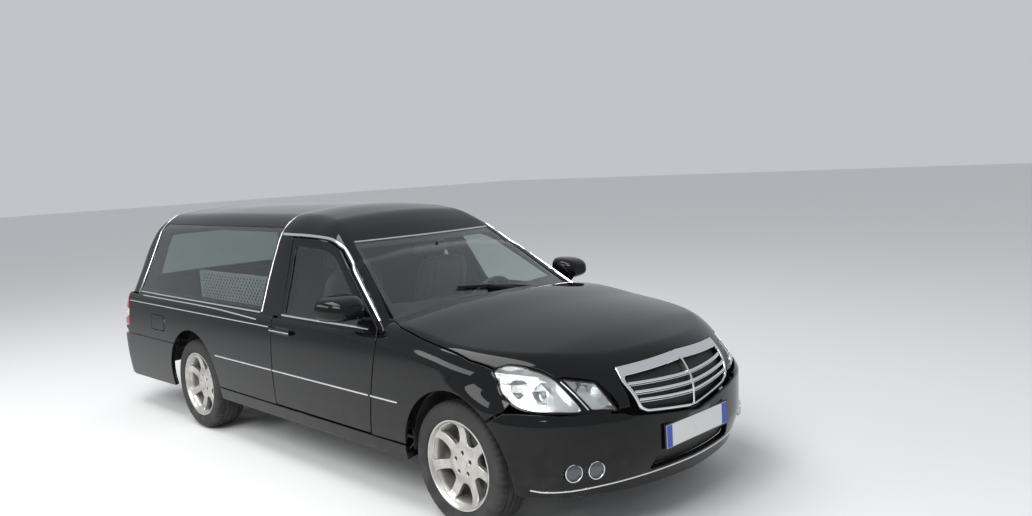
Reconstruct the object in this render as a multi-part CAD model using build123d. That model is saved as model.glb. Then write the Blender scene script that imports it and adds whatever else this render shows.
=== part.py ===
import os
from math import cos, pi, radians, sin

from build123d import *

os.makedirs("parts", exist_ok=True)

# Two-door hearse on a long estate-car chassis, at its real size in millimetres.
# X points forward, Y to the left and Z up. The origin is on the ground under the middle of the car.

# Driving dimensions
WHEELBASE = 2854
FRONT_OVERHANG = 840
REAR_OVERHANG = 1356
HALF_WIDTH = 911
GAP = 5
FRONT_AXLE_X = (WHEELBASE + REAR_OVERHANG - FRONT_OVERHANG) / 2
REAR_AXLE_X = FRONT_AXLE_X - WHEELBASE
NOSE_X = FRONT_AXLE_X + FRONT_OVERHANG
TAIL_X = REAR_AXLE_X - REAR_OVERHANG

# Wheels and tyres
TYRE_RADIUS = 325
TYRE_HALF_WIDTH = 108
RIM_RADIUS = 231
RIM_WALL = 12
SPOKES = 7
FRONT_WHEEL_Y = 766
REAR_WHEEL_Y = 770
HUB_RADIUS = 72
BORE_RADIUS = 33.3
BOLT_PITCH_RADIUS = 56
BOLT_HOLE_RADIUS = 7.2
BOLTS = 5
DISC_RADIUS = 155
DISC_THICKNESS = 26
KINGPIN_Y = 690
KINGPIN_RADIUS = 12
ARCH_RADIUS_FRONT = 372
ARCH_RADIUS_REAR = 386
ARCH_CENTRE_Z = 340
WHEELHOUSE_INNER_Y = 470

# Body heights and thicknesses
BODY_BOTTOM = 215
SILL_BOTTOM = 283
FLOOR_TOP = 330
BELT_Z = 920
DOOR_BOTTOM = 372
WALL = 110
ROOF_WALL = 38
FIREWALL_X = 1130
CABIN_REAR_X = -2360
PARTITION_X = -190
REAR_FLOOR_X = -762
RAIL_INNER_Y = 392
DECK_MID_X = -1255
PIN_SPACING_X = 1500
PIN_SPACING_Y = 560
PIN_HOLE_RADIUS = 8
REAR_FLOOR_TOP = 500

# Lower body, one row a station: x, half width, shoulder bottom z, shoulder top y and z, crown z
LOWER_STATIONS = (
    (NOSE_X + 40, 880, 640, 700, 745, 800),
    (2350, 893, 715, 735, 815, 862),
    (2059, 903, 790, 775, 893, 935),
    (1600, HALF_WIDTH, 840, 770, 945, 998),
    (1150, HALF_WIDTH, 868, 772, 982, 1046),
    (900, HALF_WIDTH, 872, 860, 925, 1000),
    (0, HALF_WIDTH, 880, 862, 940, 1000),
    (REAR_AXLE_X, HALF_WIDTH, 882, 862, 945, 1000),
    (TAIL_X - 30, 898, 890, 852, 950, 1000),
)
SILL_TUCK = 34
SIDE_BULGE_Z = 600

# Plan outline of the nose and tail, one row a height: z, tip x, corner x and y, bow x and y, side x
PLAN_HALF = 935
NOSE_LEVELS = (
    (150, 2492, 2350, 600, 2181, 800, 1895),
    (640, 2492, 2350, 600, 2181, 800, 1895),
    (785, 2443, 2275, 600, 2070, 800, 1765),
    (1080, 2330, 2060, 600, 1800, 800, 1450),
)
TAIL_LEVELS = (
    (150, -2490, -2440, 700, -2394, 872, -2300),
    (700, -2490, -2440, 700, -2394, 872, -2300),
    (1000, -2400, -2352, 700, -2315, 872, -2240),
    (1240, -2372, -2322, 640, -2287, 851, -2215),
    (1620, -2130, -2080, 500, -2040, 804, -1960),
)

# Greenhouse, one row a station: x, half width at the belt, eave y and z, roof edge y and z, roof crown z
UPPER_STATIONS = (
    (TAIL_X, 850, 645, 1400, 545, 1508, 1545),
    (-1900, 866, 652, 1412, 553, 1524, 1562),
    (REAR_AXLE_X, 872, 656, 1420, 558, 1532, 1572),
    (-175, 870, 652, 1417, 555, 1528, 1568),
    (180, 866, 645, 1408, 556, 1490, 1530),
    (470, 860, 640, 1365, 556, 1384, 1408),
    (1250, 850, 640, 1200, 556, 1222, 1250),
)
UPPER_BASE_Z = 900

# Windscreen and front pillar, one row a height: z, glass centre x, glass edge x and y, pillar x and y
SCREEN_LEVELS = (
    (850, 1343, 1231, 766, 1219, 881),
    (1650, 103, 71, 450, -10, 480),
)

NODES = {}


def on_x(x):
    return Plane(origin=(x, 0, 0), x_dir=(0, 1, 0), z_dir=(1, 0, 0))


def on_y(y):
    return Plane(origin=(0, y, 0), x_dir=(1, 0, 0), z_dir=(0, -1, 0))


def box(x0, x1, y0, y1, z0, z1):
    return Pos((x0 + x1) / 2, (y0 + y1) / 2, (z0 + z1) / 2) * Box(x1 - x0, y1 - y0, z1 - z0)


def bar_y(radius, x, z, y0, y1):
    return Pos(x, (y0 + y1) / 2, z) * Rot(90, 0, 0) * Cylinder(radius, y1 - y0)


def bar_x(radius, y, z, x0, x1):
    return Pos((x0 + x1) / 2, y, z) * Rot(0, 90, 0) * Cylinder(radius, x1 - x0)


def bar_z(radius, x, y, z0, z1):
    return Pos(x, y, (z0 + z1) / 2) * Cylinder(radius, z1 - z0)


def prism_y(points, y0, y1):
    """Side-view outline in X and Z, carried from y0 to y1."""
    wire = Polyline(*[(px, pz) for px, pz in points], close=True)
    return extrude(on_y(y0) * make_face(wire), -(y1 - y0))


def mirrored(shape):
    return mirror(shape, about=Plane.XZ)


def both(shape):
    return shape + mirrored(shape)


def whole(shape, count):
    """The largest solids of a trimmed piece, without the slivers that a trim leaves."""
    solids = sorted(shape.solids(), key=lambda solid: solid.volume)[-count:]
    return solids[0] if count == 1 else Compound(solids)


def add(name, shape):
    NODES[name] = shape


# Lower body: cross-sections of a bulged side, a shoulder arc and a crowned top
def lower_section(x, half, shoulder_z, top_y, top_z, crown_z, inset=0):
    hw = half - inset
    low = (hw - SILL_TUCK, BODY_BOTTOM + inset)
    high = (hw - 6, shoulder_z - inset)
    mid = (hw, SIDE_BULGE_Z)
    top = (top_y - inset, top_z - inset)
    bend = ((high[0] * 0.62 + top[0] * 0.38) + 14, (high[1] * 0.38 + top[1] * 0.62) + 8)
    edges = [Line((-low[0], low[1]), low)]
    edges.append(ThreePointArc(low, mid, high))
    edges.append(ThreePointArc(high, bend, top))
    edges.append(ThreePointArc(top, (0, crown_z - inset), (-top[0], top[1])))
    edges.append(ThreePointArc((-top[0], top[1]), (-bend[0], bend[1]), (-high[0], high[1])))
    edges.append(ThreePointArc((-high[0], high[1]), (-mid[0], mid[1]), (-low[0], low[1])))
    return on_x(x) * make_face(edges)


def plan_section(level, sign, inset=0):
    """Plan outline at one height: an arc over the tip, an arc round each corner and straight sides."""
    z, tip, corner_x, corner_y, bow_x, bow_y, side_x = level
    step = sign * inset
    tip, corner_x, bow_x, side_x = tip - step, corner_x - step, bow_x - step * 0.8, side_x - step * 0.7
    corner_y, bow_y = corner_y - inset * 0.3, bow_y - inset * 0.7
    back = -sign * 4000
    far = PLAN_HALF
    edges = [ThreePointArc((corner_x, -corner_y), (tip, 0), (corner_x, corner_y))]
    edges.append(ThreePointArc((corner_x, corner_y), (bow_x, bow_y), (side_x, far)))
    edges.append(Line((side_x, far), (back, far)))
    edges.append(Line((back, far), (back, -far)))
    edges.append(Line((back, -far), (side_x, -far)))
    edges.append(ThreePointArc((side_x, -far), (bow_x, -bow_y), (corner_x, -corner_y)))
    return Pos(0, 0, z) * make_face(edges)


def plan_solid(levels, sign, inset=0):
    return loft([plan_section(row, sign, inset) for row in levels], ruled=True)


def lower_body(inset=0):
    long = loft([lower_section(*row, inset=inset) for row in LOWER_STATIONS], ruled=True)
    return long & plan_solid(NOSE_LEVELS, 1, inset) & plan_solid(TAIL_LEVELS, -1, inset)


def upper_section(x, base, eave_y, eave_z, edge_y, edge_z, crown_z, inset=0):
    b = (base - inset + 0.42 * 20, UPPER_BASE_Z - 40)
    e = (eave_y - inset, eave_z - inset * 0.4)
    r = (edge_y - inset * 0.6, edge_z - inset)
    bend = ((e[0] + r[0]) / 2 + 16, (e[1] + r[1]) / 2 + 14)
    edges = [Line((-b[0], b[1]), b), Line(b, e), ThreePointArc(e, bend, r)]
    edges.append(ThreePointArc(r, (0, crown_z - inset), (-r[0], r[1])))
    edges.append(ThreePointArc((-r[0], r[1]), (-bend[0], bend[1]), (-e[0], e[1])))
    edges.append(Line((-e[0], e[1]), (-b[0], b[1])))
    return on_x(x) * make_face(edges)


def screen_section(level, inset=0):
    z, centre, edge_x, edge_y, pillar_x, pillar_y = level
    c = centre - inset
    e = (edge_x - inset, edge_y)
    p = (pillar_x - inset, pillar_y)
    out = (p[0] - 420, p[1] + 300)
    edges = [ThreePointArc((e[0], -e[1]), (c, 0), e), Line(e, p), Line(p, out)]
    edges.append(Line(out, (-4000, out[1])))
    edges.append(Line((-4000, out[1]), (-4000, -out[1])))
    edges.append(Line((-4000, -out[1]), (out[0], -out[1])))
    edges.append(Line((out[0], -out[1]), (p[0], -p[1])))
    edges.append(Line((p[0], -p[1]), (e[0], -e[1])))
    return Pos(0, 0, z) * make_face(edges)


def screen_solid(inset=0):
    return loft([screen_section(row, inset) for row in SCREEN_LEVELS], ruled=True)


def upper_body(inset=0, screen_inset=None, tail_inset=None):
    s = inset if screen_inset is None else screen_inset
    t = inset if tail_inset is None else tail_inset
    long = loft([upper_section(*row, inset=inset) for row in UPPER_STATIONS], ruled=True)
    return long & screen_solid(s) & plan_solid(TAIL_LEVELS, -1, t)


LOWER = lower_body()
UPPER = upper_body()

# Shut lines and openings, side view in X and Z
DOOR_OUTLINE = (
    (-420, DOOR_BOTTOM), (1012, DOOR_BOTTOM), (1030, 470), (1106, 903), (1060, 953),
    (470, 1338), (360, 1380), (200, 1402), (-420, 1424),
)
DOOR_REAR_X = 0
DOOR_SLANT = 0.24
DOOR_GLASS = ((118, 945), (960, 945), (480, 1268), (380, 1318), (250, 1340), (60, 1352))
# Mirror housing, one row a section: x, centre y and z, width, height, corner radius
MIRROR_ROWS = (
    (790, 962, 1058, 200, 132, 46), (830, 962, 1060, 212, 146, 54), (885, 955, 1056, 190, 126, 52), (925, 940, 1048, 120, 74, 34),
)
DOOR_HINGE = (990, 892)
DOOR_HINGE_HEIGHTS = (500, 790)
TAILGATE_HINGE = (-2224, 1455)
TAILGATE_HINGE_Y = 110
TAILGATE_GAP = 9
FLAP_HINGE = (-1622, -897)
HINGE_LENGTH = 60
HINGE_RADIUS = 7
PIN_RADIUS = 4
PIN_CLEARANCE = 0.05
HINGE_GAP = 0.3
HINGE_PILLAR = (980, 700, 762)
HEARSE_WINDOW = ((-2080, 962), (-235, 962), (-235, 1330), (-300, 1375), (-1830, 1375), (-1900, 1340))
TAILGATE_OUTLINE = ((-745, 620), (745, 620), (745, 930), (560, 1455), (-560, 1455), (-745, 930))
TAIL_WINDOW = ((-610, 985), (610, 985), (500, 1385), (-500, 1385))
WINDSCREEN = ((-712, 985), (712, 985), (552, 1384), (-552, 1384))
BONNET_FRONT_Y = 488
BONNET_PLAN = (
    (1166, 0), (1150, 300), (1106, 640), (1100, 768), (1250, 822), (1420, 838), (1800, 842), (1950, 818),
    (2100, 752), (2230, 662), (2320, 562), (2372, BONNET_FRONT_Y), (2600, BONNET_FRONT_Y), (2600, 0),
)
BONNET_HINGE = (1172, 1020)
BONNET_HINGE_Y = 350
GRILLE_HALF = ((0, 830), (404, 812), (414, 752), (372, 624), (330, 598), (0, 556))
GRILLE_BAR = 46
GRILLE_RIM = 17
GRILLE_PROUD = 10
GRILLE_DEPTH = 30
SLAT_HEIGHTS = (640, 682, 724)
SLAT_DROOP = 11
SLAT_THICK = 15
BUMPER_TOP_FRONT = 628
BONNET_LOW_Z = BUMPER_TOP_FRONT + GAP
BUMPER_TOP_REAR = 600
BUMPER_FRONT_X = 2050
BUMPER_REAR_X = -1556
LAMP_FACE = (
    (-795, 826), (-832, 843), (-874, 849), (-965, 836), (-1061, 799), (-1130, 736), (-1191, 650),
    (-1080, 652), (-977, 660), (-889, 682), (-838, 728), (-810, 780),
)
INNER_LAMP_FACE = ((-1112, 785), (-1190, 776), (-1264, 761), (-1318, 702), (-1360, 634), (-1232, 650), (-1180, 718))
FOG_LAMPS = ((697, 376), (612, 381))
FOG_RADIUS = 42
FLAP_CORNERS = (-1830, -1606, 682, 792)
SKIN = 20
LAMP_DEPTH = 70
LENS = 5
LAMP_BOWLS = ((-905, 770, 38), (-1020, 728, 44), (-1235, 706, 30))
GLASS_DEPTH = 6
GLASS_RECESS = 3


def offset_outline(points, amount):
    face = make_face(Polyline(*points, close=True))
    return offset(face, amount, kind=Kind.INTERSECTION) if amount else face


def side_prism(points, grow=0):
    face = Plane.XZ * offset_outline(points, grow)
    return extrude(face, 1000) + extrude(face, -1000)


def front_prism(points, x0, x1, grow=0):
    face = on_x(x0) * offset_outline(points, grow)
    return extrude(face, x1 - x0)


def plan_prism(points, z0, z1, grow=0):
    face = Pos(0, 0, z0) * offset_outline(points, grow)
    return extrude(face, z1 - z0)


def door_region(grow):
    """Left door outline; its rear face runs forward towards the inside, so that the door swings free."""
    rows = []
    for z, x, y in ((200, DOOR_REAR_X, 905), (BELT_Z, DOOR_REAR_X, 868), (1500, -52, 620)):
        outer = x - grow - DOOR_SLANT * (1000 - y)
        inner = x - grow + DOOR_SLANT * (y - 380)
        pts = ((outer, 1000), (inner, 380), (2000, 380), (2000, 1000))
        rows.append(Pos(0, 0, z) * make_face(Polyline(*pts, close=True)))
    return side_prism(DOOR_OUTLINE, grow) & loft(rows, ruled=True)


def hinge_relief():
    """Wedge off the fender's rear edge, which lets the door's front edge turn in behind the skin."""
    rows = []
    for x, z in ((1012, DOOR_BOTTOM), (1030, 470), (1106, 903)):
        lip = x + GAP / 2
        lean = 0.32 * (HALF_WIDTH + 1 - 860)
        pts = ((lip, HALF_WIDTH + 1), (lip + lean, 860), (x - 40, 860), (x - 40, HALF_WIDTH + 1))
        rows.append(Pos(0, 0, z) * make_face(Polyline(*pts, close=True)))
    return loft(rows, ruled=True)


# Hollow shells that the panels are cut from
CAVITY_LOW = box(CABIN_REAR_X, FIREWALL_X, -(HALF_WIDTH - WALL), HALF_WIDTH - WALL, FLOOR_TOP, 1200) & LOWER
CAVITY_UP = upper_body(ROOF_WALL, screen_inset=ROOF_WALL, tail_inset=55)
INSIDE = CAVITY_LOW + CAVITY_UP
BODY = LOWER + UPPER
SHELL = BODY - INSIDE
SKIN_LOWER = LOWER - lower_body(SKIN)
GLASS_LAYER = upper_body(GLASS_RECESS) - upper_body(GLASS_RECESS + GLASS_DEPTH)

DOOR_CUT = both(door_region(GAP / 2))
DOOR_LEFT_REGION = door_region(-GAP / 2)
BONNET_HALF = list(BONNET_PLAN)
BONNET_LOOP = BONNET_HALF + [(x, -y) for x, y in reversed(BONNET_HALF) if y > 0]
BONNET_CUT = plan_prism(BONNET_LOOP, BONNET_LOW_Z, 1200, GAP / 2)
FRONT_ARCH = bar_y(ARCH_RADIUS_FRONT, FRONT_AXLE_X + 8, ARCH_CENTRE_Z, -1000, 1000)
REAR_ARCH = bar_y(ARCH_RADIUS_REAR, REAR_AXLE_X + 8, ARCH_CENTRE_Z, -1000, 1000)

# Sloping plane across each front corner, for the lamp outlines
CORNER_PLANE = Plane(origin=(0, 0, 0), x_dir=(-1, 1, 0), z_dir=(1, 1, 0))


def corner_prism(points, grow=0):
    face = CORNER_PLANE * offset_outline(points, grow)
    return extrude(face, 3000) & box(1900, 2600, 380, 960, 500, 1000)


LAMP_REGION = corner_prism(LAMP_FACE) + corner_prism(INNER_LAMP_FACE)
LAMP_CUT = both(corner_prism(LAMP_FACE, GAP / 2) + corner_prism(INNER_LAMP_FACE, GAP / 2))
GRILLE_LEFT = [(-y, z) for y, z in reversed(GRILLE_HALF[1:-1])]
GRILLE_FACE = list(GRILLE_HALF) + GRILLE_LEFT


BUMPER_LEVELS = ((150, NOSE_X, 2386, 600, 2214, 800, 1950), (700, NOSE_X, 2386, 600, 2214, 800, 1950))
BUMPER_WALL = 30
INTAKE = (330, 318, 402)
SIDE_INTAKE = (410, 540, 322, 396)


def front_bumper():
    long = loft([lower_section(*row) for row in LOWER_STATIONS[:4]], ruled=True)
    limit = box(BUMPER_FRONT_X, NOSE_X + 5, -960, 960, SILL_BOTTOM, BUMPER_TOP_FRONT)
    outer = long & plan_solid(BUMPER_LEVELS, 1) & limit
    long_in = loft([lower_section(*row, inset=26) for row in LOWER_STATIONS[:4]], ruled=True)
    hollow = long_in & plan_solid(BUMPER_LEVELS, 1, BUMPER_WALL) & box(1900, NOSE_X, -960, 960, 200, BUMPER_TOP_FRONT + 1)
    skin = outer - hollow - FRONT_ARCH
    half, low, high = INTAKE
    skin -= box(2300, 2600, -half, half, low, high)
    y0, y1, low, high = SIDE_INTAKE
    skin -= both(box(2200, 2600, y0, y1, low, high))
    for y, z in FOG_LAMPS:
        skin -= both(bar_x(FOG_RADIUS, y, z, 2200, 2600))
        ring = bar_x(FOG_RADIUS + 1, y, z, 2200, 2600) - bar_x(FOG_RADIUS - 7, y, z, 2200, 2600)
        lens = bar_x(FOG_RADIUS, y, z, 2200, 2600) & plan_solid(BUMPER_LEVELS, 1, 10)
        skin += both((ring & outer) - hollow) + both(lens - hollow)
    return skin - front_prism(GRILLE_FACE, 2200, 2600, GAP)


def rear_bumper():
    levels = [(z, TAIL_X, -2468, 700, -2422, 872, -2330) for z in (150, 700)]
    long = loft([lower_section(*row) for row in LOWER_STATIONS[-3:]], ruled=True)
    outer = long & plan_solid(levels, -1) & box(TAIL_X - 5, BUMPER_REAR_X, -960, 960, 262, BUMPER_TOP_REAR)
    long_in = loft([lower_section(*row, inset=26) for row in LOWER_STATIONS[-3:]], ruled=True)
    hollow = long_in & plan_solid(levels, -1, BUMPER_WALL) & box(TAIL_X, -1400, -960, 960, 200, BUMPER_TOP_REAR + 1)
    return outer - hollow


def slat(z):
    """Grille slat in front view: two blades that droop a little towards the middle."""
    low, high = z - SLAT_THICK / 2, z + SLAT_THICK / 2
    points = ((0, low), (450, low + SLAT_DROOP), (450, high + SLAT_DROOP), (0, high),
              (-450, high + SLAT_DROOP), (-450, low + SLAT_DROOP))
    return front_prism(points, 2200, 2600)


def grille():
    """Chrome surround with a deep top bar, three drooping slats and a centre bar, on the arrow-shaped nose."""
    shell = plan_solid(NOSE_LEVELS, 1, -GRILLE_PROUD) & front_prism(GRILLE_FACE, 2200, 2600)
    shell -= plan_solid(NOSE_LEVELS, 1, GRILLE_DEPTH)
    top = shell - (Pos(0, 0, -GRILLE_BAR) * front_prism(GRILLE_FACE, 2200, 2600))
    rim = shell - front_prism(GRILLE_FACE, 2200, 2600, -GRILLE_RIM)
    behind = plan_solid(NOSE_LEVELS, 1, 0)
    blades = slat(SLAT_HEIGHTS[0]) + slat(SLAT_HEIGHTS[1]) + slat(SLAT_HEIGHTS[2])
    blades += box(2200, 2600, -8, 8, 560, 828)
    return top + rim + (blades & shell & behind)


def headlight():
    """Clear lens over a hollow housing, with reflector bowls behind it."""
    body = (LOWER - lower_body(LAMP_DEPTH)) & LAMP_REGION
    room = corner_prism(LAMP_FACE, -LENS) + corner_prism(INNER_LAMP_FACE, -LENS)
    lamp = body - (room & (lower_body(LENS) - lower_body(LAMP_DEPTH - 8)))
    for u, z, radius in LAMP_BOWLS:
        place = CORNER_PLANE * Pos(u, z, 0)
        bowl = place * Pos(0, 0, 2000) * (Cylinder(radius, 1600) - Cylinder(radius - 4, 1600))
        lamp += bowl & (lower_body(LENS + 14) - lower_body(LAMP_DEPTH - 7)) & LAMP_REGION
    return lamp


RIM_SEAT = 23
RIM_FACE = ((30, 66), (HUB_RADIUS, 64), (120, 52), (170, 58), (RIM_RADIUS - RIM_SEAT, 74))
RIM_BACK = ((RIM_RADIUS - RIM_SEAT, 46), (160, 34), (HUB_RADIUS, 28), (30, 28))
WINDOW = ((86, 9), (104, 24), (196, 66), (205, 52), (208, 0))


def wheel():
    """Alloy wheel with its outer face towards +Y: a dished disc with windows between seven spokes."""
    outer_face = 99
    rim_pts = ((-95, RIM_RADIUS - 14), (-95, RIM_RADIUS - 2), (-60, RIM_RADIUS - 22), (55, RIM_RADIUS - 22),
               (outer_face - 12, RIM_RADIUS - 3), (outer_face, RIM_RADIUS), (outer_face, RIM_RADIUS - 12),
               (60, RIM_RADIUS - 34), (-64, RIM_RADIUS - 34))
    barrel = revolve(Plane.XY * make_face(Polyline(*[(r, y) for y, r in rim_pts], close=True)), Axis.Y)
    disc = revolve(Plane.XY * make_face(Polyline(*RIM_FACE, *RIM_BACK, close=True)), Axis.Y)
    half = [(r, w) for r, w in WINDOW[:-1]]
    outline = half + [(WINDOW[-1][0] + 3, 0)] + [(r, -w) for r, w in reversed(half)]
    window = fillet(make_face(Polyline(*outline, close=True)).vertices(), 7)
    cut = extrude(on_y(0) * window, -120)
    for k in range(SPOKES):
        disc -= Rot(0, 360 * (k + 0.5) / SPOKES, 0) * cut
    rim = barrel + disc + bar_y(HUB_RADIUS, 0, 0, 28, 40)
    for k in range(BOLTS):
        angle = 2 * pi * k / BOLTS
        rim -= bar_y(BOLT_HOLE_RADIUS, BOLT_PITCH_RADIUS * sin(angle), BOLT_PITCH_RADIUS * cos(angle), 20, 90)
    return rim - bar_y(BORE_RADIUS, 0, 0, 20, 60)


def tyre():
    half = TYRE_HALF_WIDTH
    pts = ((-half + 10, RIM_RADIUS + 1), (-half, RIM_RADIUS + 40), (-half + 10, TYRE_RADIUS - 18),
           (-half + 26, TYRE_RADIUS - 3), (0, TYRE_RADIUS), (half - 26, TYRE_RADIUS - 3),
           (half - 10, TYRE_RADIUS - 18), (half, RIM_RADIUS + 40), (half - 10, RIM_RADIUS + 1))
    seat = ((half - 22, RIM_RADIUS - 1.5), (55, RIM_RADIUS - 21.5), (-60, RIM_RADIUS - 21.5), (-94, RIM_RADIUS - 1.5))
    face = make_face(Polyline(*[(r, y) for y, r in pts + seat], close=True))
    return revolve(Plane.XY * face, Axis.Y)



# Front panels
add("front_bumper", front_bumper())
add("grille", grille())
add("headlights", both(headlight()))
BONNET_SHELL = LOWER - lower_body(26)
GRILLE_CUT = front_prism(GRILLE_FACE, 2200, 2600, 1)
BUMPER_CUT_FRONT = box(BUMPER_FRONT_X, 2600, -960, 960, 150, BUMPER_TOP_FRONT)
BUMPER_CUT_REAR = box(-2600, BUMPER_REAR_X, -960, 960, 150, BUMPER_TOP_REAR)
bonnet = (BONNET_SHELL & plan_prism(BONNET_LOOP, BONNET_LOW_Z, 1200, -GAP / 2)) - LAMP_CUT - GRILLE_CUT
hinge_x, hinge_z = BONNET_HINGE
slot = box(hinge_x - 50, hinge_x + 9, BONNET_HINGE_Y - 24, BONNET_HINGE_Y, 900, hinge_z + 8)
bore = bar_y(PIN_RADIUS + PIN_CLEARANCE, hinge_x, hinge_z, BONNET_HINGE_Y - 10, BONNET_HINGE_Y + 22)
add("bonnet_panel", whole(bonnet - both(slot + bore), 1))
FENDER_ZONE = both(box(985, 2600, 400, 960, SILL_BOTTOM, 1040))
fenders = (SKIN_LOWER & FENDER_ZONE) - BONNET_CUT - both(LAMP_REGION) - GRILLE_CUT - BUMPER_CUT_FRONT - FRONT_ARCH
fenders = fenders - DOOR_CUT - box(2200, 2600, -495, 495, 500, 800) - both(hinge_relief()) - box(900, 1300, -790, 790, 200, 1100) - both(box(900, 1312, 700, 960, 200, DOOR_BOTTOM - GAP))
add("front_fenders", whole(fenders, 2))

# Doors, with their glass and mirrors
door_shell = (BODY - CAVITY_LOW - upper_body(46)) & DOOR_LEFT_REGION
glass_prism = side_prism(DOOR_GLASS)
door_panel = door_shell - (glass_prism & box(-200, 1200, 300, 960, 900, 1500))
hinge_x, hinge_y = DOOR_HINGE
door_panel -= box(hinge_x - 45, 1200, 300, 852, DOOR_BOTTOM - 10, BELT_Z)
for z in DOOR_HINGE_HEIGHTS:
    middle = z + HINGE_LENGTH / 2
    door_panel -= box(hinge_x - 12, 1200, 300, hinge_y + HINGE_RADIUS + 2, z - 3, z + HINGE_LENGTH + 3)
    ring = bar_z(HINGE_RADIUS, hinge_x, hinge_y, middle + HINGE_GAP, z + HINGE_LENGTH)
    ring += box(hinge_x - 30, hinge_x, hinge_y - 4, hinge_y + 4, middle + HINGE_GAP, z + HINGE_LENGTH)
    door_panel += ring - bar_z(PIN_RADIUS + PIN_CLEARANCE, hinge_x, hinge_y, z, z + HINGE_LENGTH + 1)
door_glass = (GLASS_LAYER & glass_prism) & box(-200, 1200, 300, 960, 900, 1500)
rows = [on_x(x) * (Pos(y, z) * RectangleRounded(w, h, r)) for x, y, z, w, h, r in MIRROR_ROWS]
MIRROR = loft(rows, ruled=True)
mirror_foot = box(850, 990, 800, 930, 974, 1000)
for side in ("left", "right"):
    flip = (lambda s: s) if side == "left" else mirrored
    add("door_" + side, flip(door_panel))
    add("door_glass_" + side, flip(door_glass))
    add("door_mirror_" + side, flip((MIRROR + mirror_foot) - BODY))

# Roof with its pillars, and the side panels behind the doors
SPLIT_Z = 1392
REAR_END = -2330
tailgate_prism = front_prism(TAILGATE_OUTLINE, -2700, -1900)
TAILGATE_CUT = front_prism(TAILGATE_OUTLINE, -2700, -1900, GAP / 2)
screen_prism = front_prism(WINDSCREEN, 300, 1400)
window_prism = side_prism(HEARSE_WINDOW)
upper_shell = SHELL & box(-2600, 1250, -960, 960, BELT_Z + 5, 1700)
roof_zone = box(-2600, -60, -960, 960, SPLIT_Z, 1700) + box(-60, 1250, -960, 960, BELT_Z + 5, 1700)
roof = (upper_shell & roof_zone) - DOOR_CUT - screen_prism - TAILGATE_CUT
tail_x, tail_z = TAILGATE_HINGE
roof -= box(tail_x - 80, tail_x + 10, -600, 600, tail_z - 5, tail_z + 16)
for y in (-TAILGATE_HINGE_Y, TAILGATE_HINGE_Y):
    roof -= bar_y(HINGE_RADIUS + 1.5, tail_x, tail_z, y - HINGE_LENGTH / 2 - 1, y + HINGE_LENGTH / 2 + 1)
    knuckle = bar_y(HINGE_RADIUS, tail_x, tail_z, y - HINGE_LENGTH / 2, y)
    knuckle += box(tail_x, tail_x + 24, y - HINGE_LENGTH / 2, y, tail_z - 1, tail_z + 6)
    roof += knuckle + bar_y(PIN_RADIUS, tail_x, tail_z, y - 1, y + HINGE_LENGTH / 2)
add("roof", roof - LOWER)
windscreen = (GLASS_LAYER & screen_prism) - LOWER
flap_prism = box(FLAP_CORNERS[0], FLAP_CORNERS[1], -960, -700, FLAP_CORNERS[2], FLAP_CORNERS[3])
flap_cut = box(FLAP_CORNERS[0] - 3, FLAP_CORNERS[1] + 5, -960, -842, FLAP_CORNERS[2] - 3, FLAP_CORNERS[3] + 3)
lamp_rear = both(box(-2600, -2270, 750, 960, 660, 915))
side_zone = both(box(-2600, 60, 400, 960, SILL_BOTTOM, BELT_Z + 5)) + both(box(-2600, -60, 400, 960, BELT_Z + 5, SPLIT_Z))
sides = (SHELL & side_zone) - DOOR_CUT - window_prism - BUMPER_CUT_REAR - REAR_ARCH - TAILGATE_CUT
sides = sides - lamp_rear - flap_cut - box(-2600, 60, -700, 700, 100, 640)
sides = sides - both(box(REAR_FLOOR_X, 60, 700, 960, 200, DOOR_BOTTOM - GAP))
flap_x, flap_y = FLAP_HINGE
flap_mid = (FLAP_CORNERS[2] + FLAP_CORNERS[3]) / 2
flap_arm = box(flap_x - 2, flap_x + 2, flap_y, -840, flap_mid - 30, flap_mid - 10)
flap_arm += bar_z(3, flap_x, flap_y, flap_mid - 30, flap_mid - 10) + bar_z(1.5, flap_x, flap_y, flap_mid - 10, flap_mid + 14)
add("side_panels", sides + flap_arm)
add("fixed_glass", windscreen + ((GLASS_LAYER & window_prism) & side_zone))
add("rear_bumper", rear_bumper() - REAR_ARCH)
add("tail_lamps", both(SHELL & box(-2600, -2270, 750, 960, 660, 915)))
tail_shell = (BODY - CAVITY_LOW - upper_body(ROOF_WALL, tail_inset=50)) & front_prism(TAILGATE_OUTLINE, -2700, -1900, GAP / 2 - TAILGATE_GAP)
tail_glass_prism = front_prism(TAIL_WINDOW, -2700, -1900)
tail_x, tail_z = TAILGATE_HINGE
tail_panel = tail_shell - tail_glass_prism
for y in (-TAILGATE_HINGE_Y, TAILGATE_HINGE_Y):
    tail_panel -= bar_y(HINGE_RADIUS + 1.5, tail_x, tail_z, y - HINGE_LENGTH / 2 - 1, y + HINGE_LENGTH / 2 + 1)
    ring = bar_y(HINGE_RADIUS, tail_x, tail_z, y + HINGE_GAP, y + HINGE_LENGTH / 2)
    ring += box(tail_x - 4, tail_x + 4, y + HINGE_GAP, y + HINGE_LENGTH / 2, tail_z - 16, tail_z)
    tail_panel += ring - bar_y(PIN_RADIUS + PIN_CLEARANCE, tail_x, tail_z, y - 1, y + HINGE_LENGTH)
add("tailgate", tail_panel)
glass_tail = (upper_body(2) - upper_body(2, tail_inset=9)) & tail_glass_prism & box(-2600, -2000, -700, 700, 900, 1500)
add("tailgate_glass", glass_tail)
flap = (LOWER - lower_body(6)) & flap_prism
flap += box(flap_x - 3, flap_x + 3, flap_y - 4, flap_y, flap_mid - 9.7, flap_mid + 14)
flap += bar_z(3, flap_x, flap_y, flap_mid - 9.7, flap_mid + 14)
add("fuel_flap", flap - bar_z(1.5 + PIN_CLEARANCE, flap_x, flap_y, flap_mid - 12, flap_mid + 16))

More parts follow.
